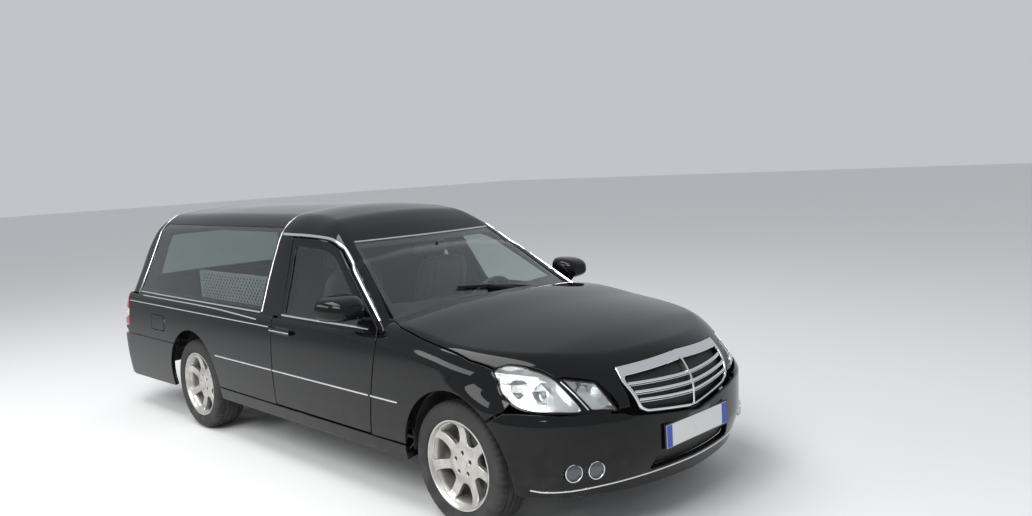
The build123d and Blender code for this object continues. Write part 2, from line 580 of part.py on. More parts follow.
# Sills, floor, wheelhouses and firewall
sill = (LOWER & box(REAR_FLOOR_X, 1312, 700, 960, SILL_BOTTOM, DOOR_BOTTOM - GAP)) - FRONT_ARCH - REAR_ARCH
floor = box(REAR_FLOOR_X, FIREWALL_X, -700, 700, FLOOR_TOP - 34, FLOOR_TOP)
floor += box(REAR_FLOOR_X, REAR_FLOOR_X + 20, -700, 700, FLOOR_TOP, REAR_FLOOR_TOP)
floor += box(-2330, REAR_FLOOR_X, -700, 700, REAR_FLOOR_TOP - 20, REAR_FLOOR_TOP)
tunnel = box(-700, 1090, -120, 120, 236, 330) - box(-701, 1091, -108, 108, 236, 320)


def wheelhouse(x, radius, inner_y):
    outer = bar_y(radius + 10, x + 8, ARCH_CENTRE_Z, inner_y - 10, 840)
    hollow = bar_y(radius + 2, x + 8, ARCH_CENTRE_Z, inner_y, 841)
    return (outer - hollow) & box(-2600, 2600, 0, 960, FLOOR_TOP + 2, 900)


front_houses = both(wheelhouse(FRONT_AXLE_X, ARCH_RADIUS_FRONT, WHEELHOUSE_INNER_Y)) & box(1312, 2400, -960, 960, 0, 900)
rear_houses = both(wheelhouse(REAR_AXLE_X, ARCH_RADIUS_REAR, 632) & box(-2600, 0, 0, HALF_WIDTH - WALL - 1, 0, 900))
rear_void = both(bar_y(ARCH_RADIUS_REAR + 10.5, REAR_AXLE_X + 8, ARCH_CENTRE_Z, 621.5, 960))
rails = both(box(FIREWALL_X, 2330, RAIL_INNER_Y, 440, 420, 520))
add("floor", (floor - rear_void) + tunnel)
add("sills", both(sill))
front_houses -= both(box(FRONT_AXLE_X - 120, FRONT_AXLE_X + 120, 430, 500, 0, 560))
rear_houses -= both(box(REAR_AXLE_X - 60, REAR_AXLE_X + 60, 600, 650, 0, 420))
add("wheelhouses", front_houses + rear_houses + rails)
fire = box(FIREWALL_X - 12, FIREWALL_X, -698, 698, FLOOR_TOP, 925)
fire += box(FIREWALL_X - 12, FIREWALL_X, -788, 788, DOOR_BOTTOM + 2, 925)
fire += box(1000, FIREWALL_X, -690, 690, 925, 935)
pillar_x, pillar_in, pillar_out = HINGE_PILLAR
hinge_x, hinge_y = DOOR_HINGE
pillar = box(pillar_x, FIREWALL_X, pillar_in, pillar_out, DOOR_BOTTOM + 2, BELT_Z - 10)
for z in DOOR_HINGE_HEIGHTS:
    middle = z + HINGE_LENGTH / 2
    pillar += box(hinge_x - 5, hinge_x + 5, pillar_in, hinge_y, z, middle)
    pillar += bar_z(HINGE_RADIUS, hinge_x, hinge_y, z, middle)
    pillar += bar_z(PIN_RADIUS, hinge_x, hinge_y, middle, z + HINGE_LENGTH)
hinge_x, hinge_z = BONNET_HINGE
arm = prism_y(((FIREWALL_X - 12, 900), (FIREWALL_X, 900), (hinge_x + 6, hinge_z - 8), (hinge_x + 6, hinge_z),
               (hinge_x - 6, hinge_z)), BONNET_HINGE_Y - 20, BONNET_HINGE_Y - 2)
arm += bar_y(HINGE_RADIUS, hinge_x, hinge_z, BONNET_HINGE_Y - 20, BONNET_HINGE_Y - 2)
arm += bar_y(PIN_RADIUS, hinge_x, hinge_z, BONNET_HINGE_Y - 2, BONNET_HINGE_Y + 18)
add("firewall", fire + both(pillar + arm))

# Cabin and load space
add("partition", box(PARTITION_X - 14, PARTITION_X, -700, 700, FLOOR_TOP + 1, 1330) & upper_body(ROOF_WALL + 4).__add__(box(-300, 0, -780, 780, 300, 930)))
deck = box(-2290, -220, -600, 600, 640, 664)
for y in (-420, -140, 140, 420):
    deck += box(-2250, -260, y - 14, y + 14, 664, 676)
for x in (DECK_MID_X - PIN_SPACING_X / 2, DECK_MID_X + PIN_SPACING_X / 2):
    for y in (-PIN_SPACING_Y / 2, PIN_SPACING_Y / 2):
        deck -= bar_z(PIN_HOLE_RADIUS, x, y, 600, 700)
deck_legs = both(box(-2280, REAR_FLOOR_X - 2, 540, 560, REAR_FLOOR_TOP, 640))
deck_legs += both(box(REAR_FLOOR_X + 22, -240, 540, 560, FLOOR_TOP, 640))
add("load_deck", deck + deck_legs)


def seat(y):
    base = Pos(400, y, 560) * Box(500, 500, 130)
    foot = box(210, 590, y - 200, y + 200, FLOOR_TOP, 495)
    back = Pos(120, y, 900) * Rot(0, -16, 0) * Box(110, 480, 620)
    head = Pos(28, y, 1238) * Rot(0, -16, 0) * Box(80, 270, 130)
    return base + foot + back + head


add("seats", seat(370) + seat(-370))
dash_face = Polyline((FIREWALL_X - 12, 560), (FIREWALL_X - 12, 925), (1000, 925), (985, 958), (790, 930), (760, 860), (820, 640), (900, 560), close=True)
dash = extrude(on_y(-690) * make_face(dash_face), -1380)
STEER_PIVOT = (640, 370, 880)
column_axis = Plane(origin=STEER_PIVOT, z_dir=(-cos(radians(26)), 0, sin(radians(26))))
column = column_axis * Pos(0, 0, -150) * Cylinder(34, 200)
bore = column_axis * Pos(0, 0, -80) * Cylinder(11.05, 140)
add("dashboard", dash + column - bore)
wheel_rim = column_axis * Torus(182, 15)
hub_disc = column_axis * Pos(0, 0, -14) * Cylinder(60, 40)
spokes = [column_axis * Rot(0, 0, a) * Pos(110, 0, -8) * Box(130, 34, 14) for a in (0, 90, 180)]
shaft = column_axis * Pos(0, 0, -80) * Cylinder(11, 100)
wheel_solid = wheel_rim + hub_disc + shaft
for s in spokes:
    wheel_solid += s
add("steering_wheel", wheel_solid)
stalk = Plane(origin=(500, 0, 1285), z_dir=(92, 0, 48)) * Pos(0, 0, 70) * Cylinder(9, 140)
add("interior_mirror", (Pos(500, 0, 1285) * Box(24, 250, 64) + stalk) & upper_body(GLASS_RECESS + GLASS_DEPTH))

# Engine, radiator, axles, knuckles and exhaust
add("engine_block", box(1330, 1990, -260, 260, 300, 820) + box(1600, 1660, -RAIL_INNER_Y, RAIL_INNER_Y, 430, 480))
add("radiator", box(2240, 2290, -330, 330, 330, 760) + box(2245, 2285, -RAIL_INNER_Y, RAIL_INNER_Y, 440, 500))
hangers = box(-10, 10, 290, 310, 270, FLOOR_TOP - 34) + box(-2160, -2140, 420, 440, 280, REAR_FLOOR_TOP - 20)
add("exhaust", hangers + bar_x(24, 300, 252, -2100, 900) + (Pos(-2150, 430, 235) * Box(420, 300, 100)))
lower_arm_z = 215
upper_pin_z = 470
arm = box(FRONT_AXLE_X - 60, FRONT_AXLE_X + 60, 380, KINGPIN_Y + 22, lower_arm_z - 12, lower_arm_z + 12)
arm -= bar_z(KINGPIN_RADIUS + 0.05, FRONT_AXLE_X, KINGPIN_Y, 0, 400)
strut = box(FRONT_AXLE_X - 26, FRONT_AXLE_X + 26, 440, KINGPIN_Y + 22, upper_pin_z + 20, upper_pin_z + 44)
strut -= bar_z(KINGPIN_RADIUS + 0.05, FRONT_AXLE_X, KINGPIN_Y, 400, 600)
cross = box(FRONT_AXLE_X - 90, FRONT_AXLE_X + 90, -441, 441, 200, 270)
post = box(FRONT_AXLE_X - 26, FRONT_AXLE_X + 26, 395, 438, 270, 420)
add("front_axle", cross + both(arm + strut + post))
HUB_Z = TYRE_RADIUS
upright = box(FRONT_AXLE_X - 34, FRONT_AXLE_X + 34, KINGPIN_Y - 30, KINGPIN_Y + 20, lower_arm_z + 14, upper_pin_z + 18)
pins = bar_z(KINGPIN_RADIUS, FRONT_AXLE_X, KINGPIN_Y, lower_arm_z - 10, lower_arm_z + 14)
pins += bar_z(KINGPIN_RADIUS, FRONT_AXLE_X, KINGPIN_Y, upper_pin_z + 18, upper_pin_z + 42)
spindle = bar_y(20, FRONT_AXLE_X, HUB_Z, KINGPIN_Y + 20, FRONT_WHEEL_Y + 60)
knuckle = upright + pins + spindle
add("knuckle_left", knuckle)
add("knuckle_right", mirrored(knuckle))
beam = box(REAR_AXLE_X - 90, REAR_AXLE_X + 90, -560, 560, 290, 420)
rear_spindle = bar_y(20, REAR_AXLE_X, HUB_Z, 560, REAR_WHEEL_Y + 60)
mounts = both(box(REAR_AXLE_X - 50, REAR_AXLE_X + 50, 430, 500, 420, REAR_FLOOR_TOP - 20))
add("rear_axle", beam + mounts + both(rear_spindle))
hub = bar_y(60, 0, 0, 4, 34) + bar_y(DISC_RADIUS, 0, 0, -22, 4)
hub -= bar_y(20.05, 0, 0, -60, 100)
rim_left = wheel() + hub
rim_left = rim_left - bar_y(20.05, 0, 0, -60, 62)
tyre_ring = tyre()
for axle, x, wheel_y in (("front", FRONT_AXLE_X, FRONT_WHEEL_Y), ("rear", REAR_AXLE_X, REAR_WHEEL_Y)):
    for side, sign in (("left", 1), ("right", -1)):
        rim = rim_left if sign > 0 else mirrored(rim_left)
        rubber = tyre_ring if sign > 0 else mirrored(tyre_ring)
        add("rim_" + axle + "_" + side, Pos(x, sign * wheel_y, HUB_Z) * rim)
        add("tyre_" + axle + "_" + side, Pos(x, sign * wheel_y, HUB_Z) * rubber)

# Wiper and chrome trim
add("wiper", Pos(1062, 120, 1060) * Rot(0, 0, 12) * Box(14, 620, 12))

for name, shape in NODES.items():
    export_step(shape, f"parts/{name}.step")
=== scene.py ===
from math import cos, pi, radians, sin

import bpy
import numpy as np
from mathutils import Matrix, Vector
from mathutils.geometry import delaunay_2d_cdt


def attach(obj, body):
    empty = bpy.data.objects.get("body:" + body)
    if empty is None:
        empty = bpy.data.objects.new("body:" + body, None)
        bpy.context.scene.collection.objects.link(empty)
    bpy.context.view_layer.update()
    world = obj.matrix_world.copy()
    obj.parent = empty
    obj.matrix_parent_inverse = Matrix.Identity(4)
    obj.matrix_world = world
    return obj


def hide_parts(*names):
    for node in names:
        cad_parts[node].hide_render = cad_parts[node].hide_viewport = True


# A black two-door hearse on a long estate-car chassis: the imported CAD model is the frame,
# and the dressed pieces below follow the car as it is put together, from the floor outwards.
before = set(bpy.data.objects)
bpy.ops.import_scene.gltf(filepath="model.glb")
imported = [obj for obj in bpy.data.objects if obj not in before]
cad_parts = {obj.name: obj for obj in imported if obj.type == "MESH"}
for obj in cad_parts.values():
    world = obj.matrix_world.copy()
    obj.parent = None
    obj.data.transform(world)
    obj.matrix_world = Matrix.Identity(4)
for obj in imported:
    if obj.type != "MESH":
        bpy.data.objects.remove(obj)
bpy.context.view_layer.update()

# Underbody: pressed steel floor, wheelhouses, axles and engine block, as the CAD model has them.
# Sprayed with matt black undercoat, with road dust that has settled in the lower parts.


def filled(node, **values):
    """The node with input values set by name; an underscore stands for a space."""
    for key, value in values.items():
        node.inputs[key.replace("_", " ")].default_value = value
    return node


def dust_group():
    """Grain and dust over a base colour. The share of dust is noise on Object coordinates, times a fall from
    1 at the ground to 0 at a height, times an amount."""
    group = bpy.data.node_groups.new("road_dust", "ShaderNodeTree")
    for socket, kind in (("Base", "Color"), ("Dust", "Color"), ("Amount", "Float"), ("Height", "Float"),
                         ("Scale", "Float")):
        group.interface.new_socket(name=socket, in_out="INPUT", socket_type="NodeSocket" + kind)
    group.interface.new_socket(name="Color", in_out="OUTPUT", socket_type="NodeSocketColor")
    n, link = group.nodes, group.links.new
    given = n.new("NodeGroupInput")
    out = n.new("NodeGroupOutput")
    place = n.new("ShaderNodeTexCoord")
    split = n.new("ShaderNodeSeparateXYZ")
    noise = filled(n.new("ShaderNodeTexNoise"), Detail=5)
    fall = filled(n.new("ShaderNodeMapRange"), To_Min=1, To_Max=0)
    grain = filled(n.new("ShaderNodeMapRange"), From_Min=0.38, From_Max=0.72)
    times, level = n.new("ShaderNodeMath"), n.new("ShaderNodeMath")
    times.operation = level.operation = "MULTIPLY"
    mix = n.new("ShaderNodeMix")
    mix.data_type = "RGBA"
    link(place.outputs["Object"], split.inputs[0])
    link(place.outputs["Object"], noise.inputs["Vector"])
    link(given.outputs["Scale"], noise.inputs["Scale"])
    link(split.outputs["Z"], fall.inputs["Value"])
    link(given.outputs["Height"], fall.inputs["From Max"])
    link(noise.outputs["Fac"], grain.inputs["Value"])
    link(fall.outputs[0], times.inputs[0])
    link(grain.outputs[0], times.inputs[1])
    link(times.outputs[0], level.inputs[0])
    link(given.outputs["Amount"], level.inputs[1])
    link(level.outputs[0], mix.inputs["Factor"])
    link(given.outputs["Base"], mix.inputs["A"])
    link(given.outputs["Dust"], mix.inputs["B"])
    link(mix.outputs["Result"], out.inputs["Color"])
    return group


ROAD_DUST = dust_group()


def finish_of(name, color, rough, dust, height, scale=9.0, metal=0.0, coat=0.0, tint=(0.23, 0.21, 0.18)):
    """Principled surface whose colour passes through the dust group."""
    mat = bpy.data.materials.new(name)
    mat.use_nodes = True
    n, link = mat.node_tree.nodes, mat.node_tree.links.new
    shader = filled(n["Principled BSDF"], Metallic=metal, Coat_Weight=coat, Coat_Roughness=0.04,
                    Roughness=rough)
    dusty = n.new("ShaderNodeGroup")
    dusty.node_tree = ROAD_DUST
    filled(dusty, Base=(*color, 1), Dust=(*tint, 1), Amount=dust, Height=height, Scale=scale)
    link(dusty.outputs["Color"], shader.inputs["Base Color"])
    return mat


undercoat = finish_of("undercoat", (0.022, 0.022, 0.023), 0.75, dust=0.55, height=0.7)
cast_iron = finish_of("cast_iron", (0.09, 0.085, 0.08), 0.62, metal=0.6, dust=0.5, height=0.9, scale=24)
pipe_steel = finish_of("pipe_steel", (0.32, 0.3, 0.28), 0.45, metal=0.9, dust=0.5, height=0.5, scale=30)
black_plastic = finish_of("black_plastic", (0.018, 0.018, 0.019), 0.5, dust=0.25, height=1.0)


def wear(material, *nodes):
    """Give CAD nodes that keep showing a finish."""
    for node in nodes:
        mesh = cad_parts[node].data
        mesh.materials.clear()
        mesh.materials.append(material)


wear(undercoat, "floor", "firewall")
wear(black_plastic, "wheelhouses", "radiator")
wear(cast_iron, "front_axle", "rear_axle", "knuckle_left", "knuckle_right", "engine_block")
wear(pipe_steel, "exhaust")

# Body skin: pressed sheet steel, drawn as one smooth shape and then cut into panels at the shut lines.
# Each panel is the skin trimmed by its outline, with a rolled hem round every edge and its inner
# face a stated thickness behind, painted gloss black.


def ease(a, b, t):
    """Smooth step from 0 at a to 1 at b."""
    t = np.clip((t - a) / (b - a), 0, 1)
    return t * t * (3 - 2 * t)


def along(knots, values, t):
    """Smooth curve through the values at the knots: a cubic with the slopes of a monotone curve."""
    k, v = np.asarray(knots, float), np.asarray(values, float)
    gap = np.diff(k)
    rise = np.diff(v) / gap
    slope = np.zeros_like(v)
    same = rise[:-1] * rise[1:] > 0
    mean = 2 * rise[:-1] * rise[1:] / np.where(same, rise[:-1] + rise[1:], 1)
    slope[1:-1] = np.where(same, mean, 0)
    slope[0], slope[-1] = rise[0], rise[-1]
    t = np.clip(t, k[0], k[-1])
    i = np.clip(np.searchsorted(k, t) - 1, 0, len(gap) - 1)
    s = (t - k[i]) / gap[i]
    h = gap[i]
    return (v[i] * (1 + 2 * s) * (1 - s) ** 2 + slope[i] * h * s * (1 - s) ** 2
            + v[i + 1] * s * s * (3 - 2 * s) + slope[i + 1] * h * s * s * (s - 1))


def rounded(a, b, r):
    """Common part of two solids whose distances are a and b, with a round edge of radius r."""
    return np.minimum(-r, np.maximum(a, b)) + np.hypot(np.maximum(r + a, 0), np.maximum(r + b, 0))


CROWN = ((-2.6, -1.2, 0.8, 1.15, 1.6, 2.06, 2.35, 2.44, 2.56),
         (0.99, 0.99, 1.03, 1.046, 0.998, 0.935, 0.862, 0.826, 0.75))
CROWN_DROP = ((0.9, 1.15, 1.6, 2.06, 2.35, 2.5), (0.07, 0.055, 0.06, 0.06, 0.105, 0.13))
NOSE_TIP = ((0.2, 0.5, 0.64, 0.785, 0.87, 1.05), (2.478, 2.49, 2.492, 2.447, 2.4, 2.33))
TAIL_TIP = ((0.2, 0.7, 0.93, 1.1, 1.25, 1.4, 1.53, 1.62),
            (-2.49, -2.49, -2.425, -2.385, -2.36, -2.29, -2.19, -2.08))
TAIL_LONG = 0.17
ARROW = 0.08


def side_width(z):
    """Half width of the body: a parabola with its widest place at the shoulder of the doors."""
    return 0.911 - 0.235 * (z - 0.6) ** 2


def plan_distance(x, y, z, tip, long, power):
    """Nose and sides in plan: an ellipse of high power whose length and tip change with height."""
    w = side_width(z)
    back = along(*TAIL_TIP, z)
    x = np.where(x > 0, x + ARROW * (np.hypot(y, 0.05) - 0.05), x)
    ahead = np.maximum(x - (tip - long), 0) / long
    behind = np.maximum((back + TAIL_LONG) - x, 0) / TAIL_LONG
    u = np.abs(y) / w
    p = np.where(x > 0.2, power, 5.0)
    g = ahead ** 2 + behind ** 2 + u ** p - 1
    gx = 2 * ahead / long + 2 * behind / TAIL_LONG
    gy = p * u ** (p - 1) / w
    return g / np.sqrt(gx * gx + gy * gy + 0.25)


def crown_height(x, y):
    """Top of the lower body: a parabola across the bonnet that fades into the level belt behind it."""
    front = along(*CROWN, x) - along(*CROWN_DROP, x) * (y / 0.75) ** 2
    belt = 0.93 + 0.06 * ease(0.86, 0.55, np.abs(y))
    w = ease(0.84, 1.14, x)
    return front * w + belt * (1 - w)


def lower_body(x, y, z):
    """Wings, doors and bonnet: the plan outline rounded into the crowned top."""
    tip = along(*NOSE_TIP, z)
    long = 0.55 + 0.2 * ease(0.64, 0.785, z)
    power = 2.7 - 0.1 * ease(0.64, 0.785, z)
    plan = plan_distance(x, y, z, tip, long, power)
    slope = np.hypot(1, 0.16 + 0.5 * ease(2.1, 2.45, x))
    top = (z - crown_height(x, y)) / slope
    radius = 0.028 + 0.067 * ease(0.75, 1.2, x)
    return rounded(plan, top, radius)


def dropped(shape, start, way, far):
    """Point where each ray leaves the shape for the last time: a march along it, then halving."""
    steps = np.linspace(0, far, 64)
    near, far = np.zeros(len(start)), np.full(len(start), float(far))
    for a, b in zip(steps[:-1], steps[1:]):
        p = start + way * a
        inside = shape(p[:, 0], p[:, 1], p[:, 2]) < 0
        near, far = np.where(inside, a, near), np.where(inside, b, far)
    for _ in range(26):
        mid = (near + far) / 2
        p = start + way * mid[:, None]
        inside = shape(p[:, 0], p[:, 1], p[:, 2]) < 0
        near, far = np.where(inside, mid, near), np.where(inside, far, mid)
    return start + way * near[:, None]


def outward(shape, p, step=0.0015):
    """Outward normal: the gradient of the shape's distance."""
    g = np.stack([shape(*(p + d).T) - shape(*(p - d).T) for d in np.eye(3) * step], axis=1)
    return g / np.linalg.norm(g, axis=1)[:, None]


def on_side(uv):
    """Chart of the sides: x and z, looking along y."""
    o = np.column_stack([uv[:, 0], 0 * uv[:, 0], uv[:, 1]])
    return o, np.broadcast_to([0.0, 1.0, 0.0], o.shape)


HIP = (0.45, 0.6)
HIP_ROUND = 0.46


def on_shoulder(uv):
    """Chart of wing and door: x, and the arc length at a set radius about a line inside the shoulder."""
    a = uv[:, 1] / HIP_ROUND
    o = np.column_stack([uv[:, 0], HIP[0] + 0 * a, HIP[1] + 0 * a])
    return o, np.column_stack([0 * a, np.cos(a), np.sin(a)])


REACH = 1.3


def out_to(shape, points):
    """Side-view points x, z carried outwards to the shape."""
    return dropped(shape, *on_side(np.asarray(points, float)), REACH)


def to_shoulder(shape, points):
    """Side-view points x, z given in the shoulder chart."""
    p = out_to(shape, points)
    return np.column_stack([p[:, 0], HIP_ROUND * np.arctan2(p[:, 2] - HIP[1], p[:, 1] - HIP[0])])


def loop_of(points, step=0.02, closed=True):
    """Outline with points every step or so along its straight runs."""
    p = np.asarray(points, float)
    q = np.roll(p, -1, axis=0) if closed else p[1:]
    p = p if closed else p[:-1]
    parts = []
    for a, b in zip(p, q):
        n = max(1, int(np.ceil(np.linalg.norm(b - a) / step)))
        parts.append(a + (b - a) * (np.arange(n) / n)[:, None])
    if not closed:
        parts.append(q[-1:])
    return np.concatenate(parts)


def signed_area(p):
    """Area of an outline, above 0 when it runs anticlockwise."""
    return 0.5 * np.sum(p[:, 0] * np.roll(p[:, 1], -1) - np.roll(p[:, 0], -1) * p[:, 1])


def ccw(loop):
    """The outline run anticlockwise."""
    return loop if signed_area(loop) > 0 else loop[::-1]


def shifted(loop, amount):
    """Outline moved sideways: inwards on an outer loop, outwards on a hole."""
    ahead = np.roll(loop, -1, axis=0) - loop
    back = loop - np.roll(loop, 1, axis=0)
    n = ahead / np.linalg.norm(ahead, axis=1)[:, None] + back / np.linalg.norm(back, axis=1)[:, None]
    long = np.linalg.norm(n, axis=1)[:, None]
    stretch = np.minimum(2 / np.maximum(long, 1.0), 1.6)
    n = n / np.maximum(long, 1e-9) * stretch
    return loop + np.column_stack([-n[:, 1], n[:, 0]]) * amount


def following(ends):
    """Index of the next point on each of several loops laid end to end."""
    nxt = np.arange(ends[-1]) + 1
    for a, b in zip(ends[:-1], ends[1:]):
        nxt[b - 1] = a
    return nxt


def trimmed(shape, chart, loops, pitch=0.016, hem=0.004, thick=0.02, lift=0.0, far=1.4):
    """Skin inside the outer loop and outside the holes. The face is a grid of two chart parameters, cut by
    the loops. Each hem row turns by a third of a right angle, and the inner face is the face moved in by
    the thickness."""
    ready = []
    for k, loop in enumerate(loops):
        loop = np.asarray(loop, float)
        loop = loop[np.linalg.norm(loop - np.roll(loop, 1, axis=0), axis=1) > 0.0015]
        ready.append(shifted(ccw(loop) if k == 0 else ccw(loop)[::-1], hem))
    flat = np.concatenate(ready)
    ends = np.cumsum([0] + [len(r) for r in ready])
    nxt = following(ends)
    lo, hi = flat.min(0), flat.max(0)
    gu = np.arange(lo[0] + pitch / 2, hi[0], pitch)
    gv = np.arange(lo[1] + pitch / 2, hi[1], pitch)
    grid = np.stack(np.meshgrid(gu, gv, indexing="ij"), -1).reshape(-1, 2)
    a, b = flat, flat[nxt]

    def within(q):
        """Which points lie inside the outer loop and outside the holes, by counting crossings."""
        inside = np.zeros(len(q), bool)
        for i in range(0, len(q), 4000):
            x, y = q[i:i + 4000, 0:1], q[i:i + 4000, 1:2]
            cross = (a[:, 1] > y) != (b[:, 1] > y)
            run = np.where(b[:, 1] == a[:, 1], 1e-12, b[:, 1] - a[:, 1])
            hit = x < (b[:, 0] - a[:, 0]) * (y - a[:, 1]) / run + a[:, 0]
            inside[i:i + 4000] = (cross & hit).sum(1) % 2 == 1
        return inside

    def clear(q):
        """Distance of each point from the nearest edge."""
        away = np.zeros(len(q))
        d = b - a
        for i in range(0, len(q), 4000):
            r = q[i:i + 4000, None, :] - a[None]
            t = np.clip((r * d).sum(2) / np.maximum((d * d).sum(1), 1e-14), 0, 1)
            away[i:i + 4000] = np.linalg.norm(r - t[..., None] * d, axis=2).min(1)
        return away

    grid = grid[within(grid)]
    grid = grid[clear(grid) > 0.45 * pitch]
    points = np.concatenate([flat, grid])
    edges = np.column_stack([np.arange(len(flat)), nxt])
    verts, _, faces, orig, _, _ = delaunay_2d_cdt(points.tolist(), edges.tolist(), [], 0, 1e-7)
    verts = np.array([tuple(v) for v in verts])
    faces = np.array([f for f in faces if len(f) == 3])
    faces = faces[within(verts[faces].mean(1))]
    where = np.zeros(len(points), int)
    for i, sources in enumerate(orig):
        where[sources] = i
    rim = where[:len(flat)]
    start, way = chart(verts)
    face = dropped(shape, start, way, far)
    normal = outward(shape, face)
    stride = b - a
    inner = np.column_stack([-stride[:, 1], stride[:, 0]]) / np.linalg.norm(stride, axis=1)[:, None]
    side = flat - 0.002 * inner
    off = dropped(shape, *chart(side), far) - dropped(shape, *chart(flat), far)
    n = normal[rim]
    off -= n * (off * n).sum(1)[:, None]
    off = off + np.roll(off, 1, axis=0)
    off /= np.linalg.norm(off, axis=1)[:, None]
    face = face + normal * lift
    turn = np.cross(face[faces[:, 1]] - face[faces[:, 0]], face[faces[:, 2]] - face[faces[:, 0]])
    if (turn * normal[faces[:, 0]]).sum() < 0:
        faces = faces[:, ::-1]
    rows = [rim]
    cloud, normals = [face], [normal]
    count = len(face)
    for angle in np.radians([30, 60, 90]) if hem > 0 else ():
        cloud.append(face[rim] + hem * (sin(angle) * off - (1 - cos(angle)) * n))
        normals.append(cos(angle) * n + sin(angle) * off)
        rows.append(count + np.arange(len(rim)))
        count += len(rim)
    back = face - normal * thick
    cloud.append(back)
    normals.append(-normal)
    rows.append(count + rim)
    flip = faces[:, ::-1] + count
    cloud = np.concatenate(cloud)
    joins = [np.column_stack([r0, r1, r1[nxt], r0[nxt]]) for r0, r1 in zip(rows[:-1], rows[1:])]
    quads = np.concatenate(joins)
    q = cloud[quads[:len(rim)]]
    turn = np.cross(q[:, 1] - q[:, 0], q[:, 3] - q[:, 0])
    if (turn * (off + n)).sum() < 0:
        quads = quads[:, ::-1]
    return cloud, faces, quads, flip, np.concatenate(normals)


def panel(name, parts, body, materials, replaces=()):
    """One object of several trimmed skins; outer faces and hems take the first material, inner the second."""
    cloud, polys, index, normals, count = [], [], [], [], 0
    for points, faces, quads, inner, normal in parts:
        for group, slot in ((faces, 0), (quads, 0), (inner, 1)):
            polys.append(group + count)
            index.append(np.full(len(group), min(slot, len(materials) - 1)))
        cloud.append(points)
        normals.append(normal)
        count += len(points)
    whole = np.concatenate(cloud)
    return make_mesh(name, whole, polys, body, materials, np.concatenate(index), replaces,
                     np.concatenate(normals))


def make_mesh(name, cloud, polys, body, materials, index=None, replaces=(), normals=None):
    """Mesh object from whole arrays of points and faces, riding on one body of the frame."""
    mesh = bpy.data.meshes.new(name)
    starts, corners, at = [], [], 0
    for group in polys:
        group = np.asarray(group)
        starts.append(at + np.arange(len(group)) * group.shape[1])
        corners.append(group.ravel())
        at += group.size
    mesh.vertices.add(len(cloud))
    mesh.vertices.foreach_set("co", np.asarray(cloud, np.float32).ravel())
    mesh.loops.add(at)
    mesh.loops.foreach_set("vertex_index", np.concatenate(corners).astype(np.int32))
    starts = np.concatenate(starts).astype(np.int32)
    mesh.polygons.add(len(starts))
    mesh.polygons.foreach_set("loop_start", starts)
    if index is not None:
        mesh.polygons.foreach_set("material_index", index.astype(np.int32))
    mesh.update(calc_edges=True)
    for material in materials:
        mesh.materials.append(material)
    mesh.shade_smooth()
    if normals is None:
        mesh.set_sharp_from_angle(angle=radians(35))
    else:
        mesh.normals_split_custom_set_from_vertices(np.asarray(normals, np.float32))
    thing = bpy.data.objects.new(name, mesh)
    bpy.context.scene.collection.objects.link(thing)
    if body:
        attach(thing, body)
    if replaces:
        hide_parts(*replaces)
    return thing


def turned(part):
    """The same part on the other side of the car."""
    points, faces, quads, inner, normals = part
    m = np.array([1, -1, 1])
    return points * m, faces[:, ::-1], quads[:, ::-1], inner[:, ::-1], normals * m


def both_sides(name, parts, body, materials, replaces=()):
    """One object of trimmed skins for the left side and the same ones turned to the right."""
    panel(name, parts + [turned(p) for p in parts], body, materials, replaces)


def paint():
    """Gloss black: a sharp shine, slow noise as orange peel in its normal, and a little dust low down."""
    mat = finish_of("black_paint", (0.0035, 0.0036, 0.0042), 0.035, dust=0.1, height=0.62, scale=14)
    n, link = mat.node_tree.nodes, mat.node_tree.links.new
    shader = filled(n["Principled BSDF"], Specular_IOR_Level=0.28)
    place = n.new("ShaderNodeTexCoord")
    peel = filled(n.new("ShaderNodeTexNoise"), Scale=3.0)
    bump = filled(n.new("ShaderNodeBump"), Strength=0.02, Distance=0.01)
    link(place.outputs["Object"], peel.inputs["Vector"])
    link(peel.outputs["Fac"], bump.inputs["Height"])
    link(bump.outputs["Normal"], shader.inputs["Normal"])
    return mat


black_paint = paint()
SHUT = 0.0025

# Sills: box pressings that run under the doors between the wheel arches.
# Painted with the body, and dusty along the lower edge.
ARCH_FRONT = (1.693, 0.34, 0.372)
ARCH_REAR = (-1.161, 0.34, 0.386)

sill_loop = np.concatenate([
    loop_of(((-0.77, 0.283), (1.318, 0.283)), closed=False),
    loop_of(((1.312, 0.367 - SHUT), (-0.776, 0.367 - SHUT)), closed=False),
])
sill_loop = to_shoulder(lower_body, sill_loop)
sill_part = trimmed(lower_body, on_shoulder, [sill_loop], thick=0.09)
both_sides("sill_skins", [sill_part], "root", [black_paint, undercoat], ["sills"])

# Front wings: each runs from the door's front edge over the wheel arch to the lamp and bumper,
# a single pressing whose upper edge lies beside the bonnet. Hemmed and bolted on, painted black.


def on_top(uv):
    """Chart of bonnet and deck: x and y, looking up."""
    o = np.column_stack([uv[:, 0], uv[:, 1], 0.5 + 0 * uv[:, 0]])
    return o, np.broadcast_to([0.0, 0.0, 1.0], o.shape)


def up_to(shape, points):
    """Plan points x, y carried upwards to the shape."""
    return dropped(shape, *on_top(np.asarray(points, float)), REACH)


def arc_of(cx, cz, r, a0, a1, step=0.02):
    """Circle arc in a chart, from angle a0 to a1 in degrees."""
    n = max(3, int(abs(radians(a1 - a0)) * r / step))
    t = np.radians(np.linspace(a0, a1, n + 1))
    return np.column_stack([cx + r * np.cos(t), cz + r * np.sin(t)])


